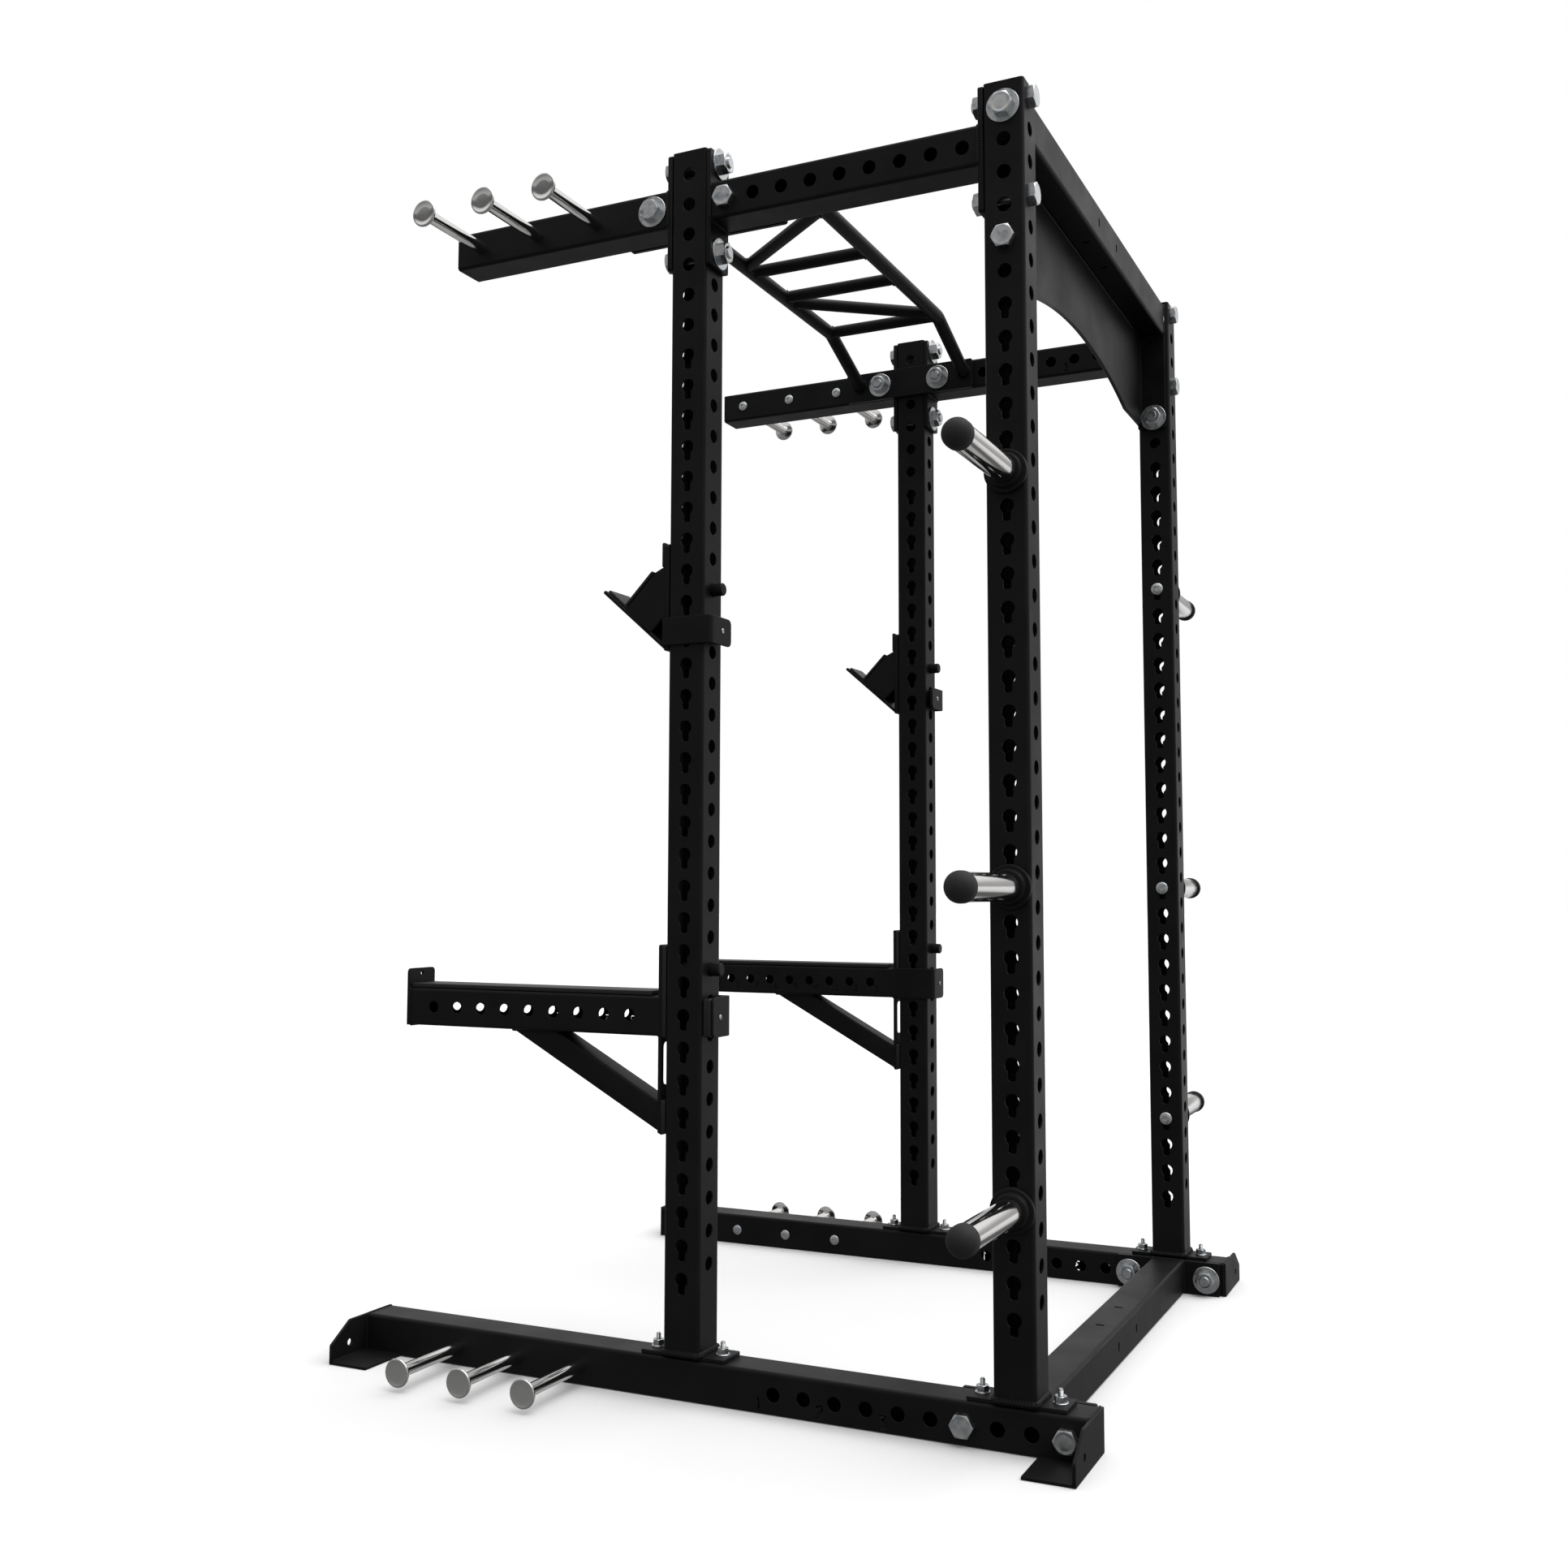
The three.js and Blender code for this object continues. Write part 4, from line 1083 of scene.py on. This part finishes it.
def make_jhooks():
    """Hooks and their plastic liners."""
    body = "jhook_body_{side}"
    pair("jhook", jhook(), COAT, body)
    slope_liner = strip_on_line((-148.5, 1476.5), (-88.5, 1537.9), 1, 7, INNER_X + 0.5, OUTER_X - 0.5, 2.8)
    pair("jhook_slope_liner", slope_liner, LINER, body)
    lip_liner = strip_on_line((-196.5, 1503.2), (-155.5, 1467.8), JHOOK_LIP + 0.3, 12.8, INNER_X + 1.5,
                              OUTER_X - 1.5, 1.6)
    pair("jhook_lip_liner", lip_liner, LINER, body, replaces=False)
    liner_outline = rounded(INNER_X + 0.5, OUTER_X - 0.5, JHOOK_LINER_LOW, JHOOK_LINER_HIGH, 4)
    back_liner = plate_xz(liner_outline, JHOOK_PLATE_FRONT - 5.7, JHOOK_PLATE_FRONT - 0.2, chamfer=1.4)
    pair("jhook_back_liner", back_liner, LINER, body)
    tab_details("jhook", body, JHOOK_TAB_Y, SIDE_X - 11, 1397.5, 1446, SIDE_X - 3, 1422.5)


def brace():
    """Slanted square tube under the arm, cut to meet the arm and the back plate, with its welds."""
    low, high = Vector(BRACE_FRONT), Vector(BRACE_REAR)
    along = (high - low).normalized()
    up = Vector((-along.y, along.x))
    middle = low + up * (BRACE / 2)
    front, rear = [], []
    for x, n in rounded(-BRACE / 2, BRACE / 2, -BRACE / 2, BRACE / 2, 5):
        p = middle + up * n
        at_arm = p + along * ((ARM_LOW - p.y) / along.y)
        at_plate = p + along * ((ARM_ROOT - p.x) / along.x)
        front.append((SIDE_X + x, at_arm.x, at_arm.y))
        rear.append((SIDE_X + x, at_plate.x, at_plate.y))
    tube = band([front, rear])
    for end in (front, rear):
        centre = tuple(sum((Vector(p) for p in end), Vector()) / len(end))
        tube.join(band([end, [centre] * len(end)]))
    lifted = [(x, y, z - 1) for x, y, z in front]
    pulled = [(x, y - 1, z) for x, y, z in rear]
    return tube.join(bead(lifted, 3), bead(pulled, 3))


def spotter_arm(flip):
    """Perforated arm with numbers that read right from inside the cage, on a back plate with a brace."""
    x = OUTER_X - ARM_WIDTH / 2
    z = ARM_LOW + ARM_HEIGHT / 2
    cuts, digits = [], []
    for i in range(ARM_HOLES):
        y = ARM_HOLE_Y + i * ARM_PITCH
        cuts.append(circle(y, z, ARM_HOLE_R))
        digits += digit(ARM_HOLES - i, y + 19.5, z - 16, 15, not flip, 0.11)
    tube = tube_y(x, z, ARM_TIP + 0.1, ARM_ROOT - 0.1, cuts, (), digits, ARM_WIDTH, ARM_HEIGHT)
    stop_outline = rounded(OUTER_X - ARM_WIDTH, OUTER_X + 3, ARM_LOW, ARM_STOP_TOP, [1.5, 1.5, 8, 8], 5)
    stop = plate_xz(stop_outline, ARM_TIP - BRACKET, ARM_TIP, [circle(SIDE_X, ARM_STOP_TOP - 11.4, 4, 14)])
    window = rounded(SIDE_X - 24, SIDE_X + 25, 566, 646, 10, 5)
    back_outline = rounded(INNER_X, OUTER_X, ARM_PLATE_LOW, ARM_PLATE_HIGH, 4)
    back = plate_xz(back_outline, ARM_ROOT, ARM_ROOT + ARM_PLATE, [window])
    shell = wrap(-1, ARM_ROOT - 1, SPOTTER_TAB_Y, ARM_LOW, ARM_TOP, HALF - 10)
    seams = end_beads(x, z, (ARM_TIP, ARM_ROOT), ARM_WIDTH, ARM_HEIGHT, 2.4)
    return joined(tube, stop, back, brace(), shell, hook_pin(ARM_HOLE, ARM_ROOT + ARM_PLATE / 2), seams)


def make_spotter_arms():
    """Arms with a plastic strip on top, and plastic pads against the upright."""
    body = "spotter_body_{side}"
    pair("spotter_arm", spotter_arm, COAT, body)
    strip_outline = rounded(INNER_X - 3, OUTER_X - 3, ARM_TOP + GAP, ARM_TOP + 9, 2)
    pair("spotter_strip", plate_xz(strip_outline, ARM_TIP + 0.5, ARM_ROOT - 16, chamfer=1), LINER, body)
    for name, low, high in (("upper", 655, 826.5), ("lower", 478.5, 540)):
        outline = rounded(INNER_X + 0.6, OUTER_X - 0.6, low, high, 3, 3)
        pad = plate_xz(outline, ARM_ROOT + ARM_PLATE + 0.2, FRONT_Y - HALF - 0.6, chamfer=1.2)
        pair(f"spotter_pad_{name}", pad, LINER, body, replaces=False)
    tab_details("spotter", body, SPOTTER_TAB_Y, SIDE_X - 10, ARM_LOW + 2, ARM_TOP - 3, SIDE_X, 694)


make_uprights()
make_frame()
make_through_bolts()
make_cross_bolts()
make_foot_studs()
make_plate_pegs()
make_band_pegs()
make_jhooks()
make_spotter_arms()


# ---------- stage, light and camera ----------

def make_stage():
    """Plain pale floor that shows in no reflection."""
    floor = bpy.data.meshes.new("floor")
    size = 60
    floor.from_pydata([(x, y, 0) for x, y in rectangle(-size, size, -size, size)], [], [(0, 1, 2, 3)])
    material = new_material("floor", (0.9, 0.9, 0.9), 0.8, 0.0, 0.2)
    floor.materials.append(material)
    obj = bpy.data.objects.new("floor", floor)
    obj.visible_glossy = False
    obj.visible_diffuse = False
    bpy.context.scene.collection.objects.link(obj)


def make_camera():
    """Camera at the reference viewing angle, from its axes in the row frame."""
    right = Vector((-0.42762, 0.90396, 0.00176))
    down = Vector((-0.07323, -0.03270, -0.99678))
    look = Vector((-0.90099, -0.42637, 0.08018))
    data = bpy.data.cameras.new("camera")
    data.lens = 36.2547
    data.sensor_width = 36
    data.shift_x = -0.00668
    data.shift_y = -0.01418
    data.clip_end = 60
    obj = bpy.data.objects.new("camera", data)
    bpy.context.scene.collection.objects.link(obj)
    axes = Matrix((right, -down, -look)).transposed()
    obj.matrix_world = Matrix.Translation((3.2244, 1.4385, 0.9331)) @ axes.to_4x4()
    bpy.context.scene.camera = obj


def make_light():
    """White studio: a dome with bright and dark bands for the metal to reflect, seen by the camera as
    plain white, and a broad soft light overhead."""
    world = bpy.data.worlds.new("world")
    bpy.context.scene.world = world
    world.use_nodes = True
    tree = world.node_tree
    background = tree.nodes["Background"]
    background.inputs["Color"].default_value = (1, 1, 1, 1)
    where = new_node(tree, "TexCoord")
    towards = new_node(tree, "VectorMath")
    towards.operation = "DOT_PRODUCT"
    towards.inputs[1].default_value = Vector((-0.35, 0.2, 0.92)).normalized()
    half = new_node(tree, "MapRange", From_Min=-1.0)
    levels = [(0.0, 0.16), (0.3, 0.22), (0.46, 0.5), (0.5, 0.12), (0.57, 0.14), (0.61, 0.75), (0.69, 0.95),
              (0.73, 0.4), (0.8, 0.5), (0.86, 1.0), (1.0, 0.95)]
    dome = color_ramp(tree, half.outputs["Result"], [(place, (level,) * 3) for place, level in levels])
    path = new_node(tree, "LightPath")
    seen = new_node(tree, "Math")
    seen.operation = "MAXIMUM"
    tree.links.new(where.outputs["Generated"], towards.inputs[0])
    tree.links.new(towards.outputs["Value"], half.inputs["Value"])
    tree.links.new(dome.outputs["Color"], seen.inputs[0])
    tree.links.new(path.outputs["Is Camera Ray"], seen.inputs[1])
    tree.links.new(seen.outputs["Value"], background.inputs["Strength"])
    sun = bpy.data.lights.new("overhead", "SUN")
    sun.energy = 1.9
    sun.angle = 1.2
    lamp = bpy.data.objects.new("overhead", sun)
    lamp.matrix_world = facing((-0.1, 0.35, 0.93), 0, 0, 4)
    bpy.context.scene.collection.objects.link(lamp)


make_stage()
make_camera()
make_light()
bpy.context.scene.view_settings.view_transform = "Standard"
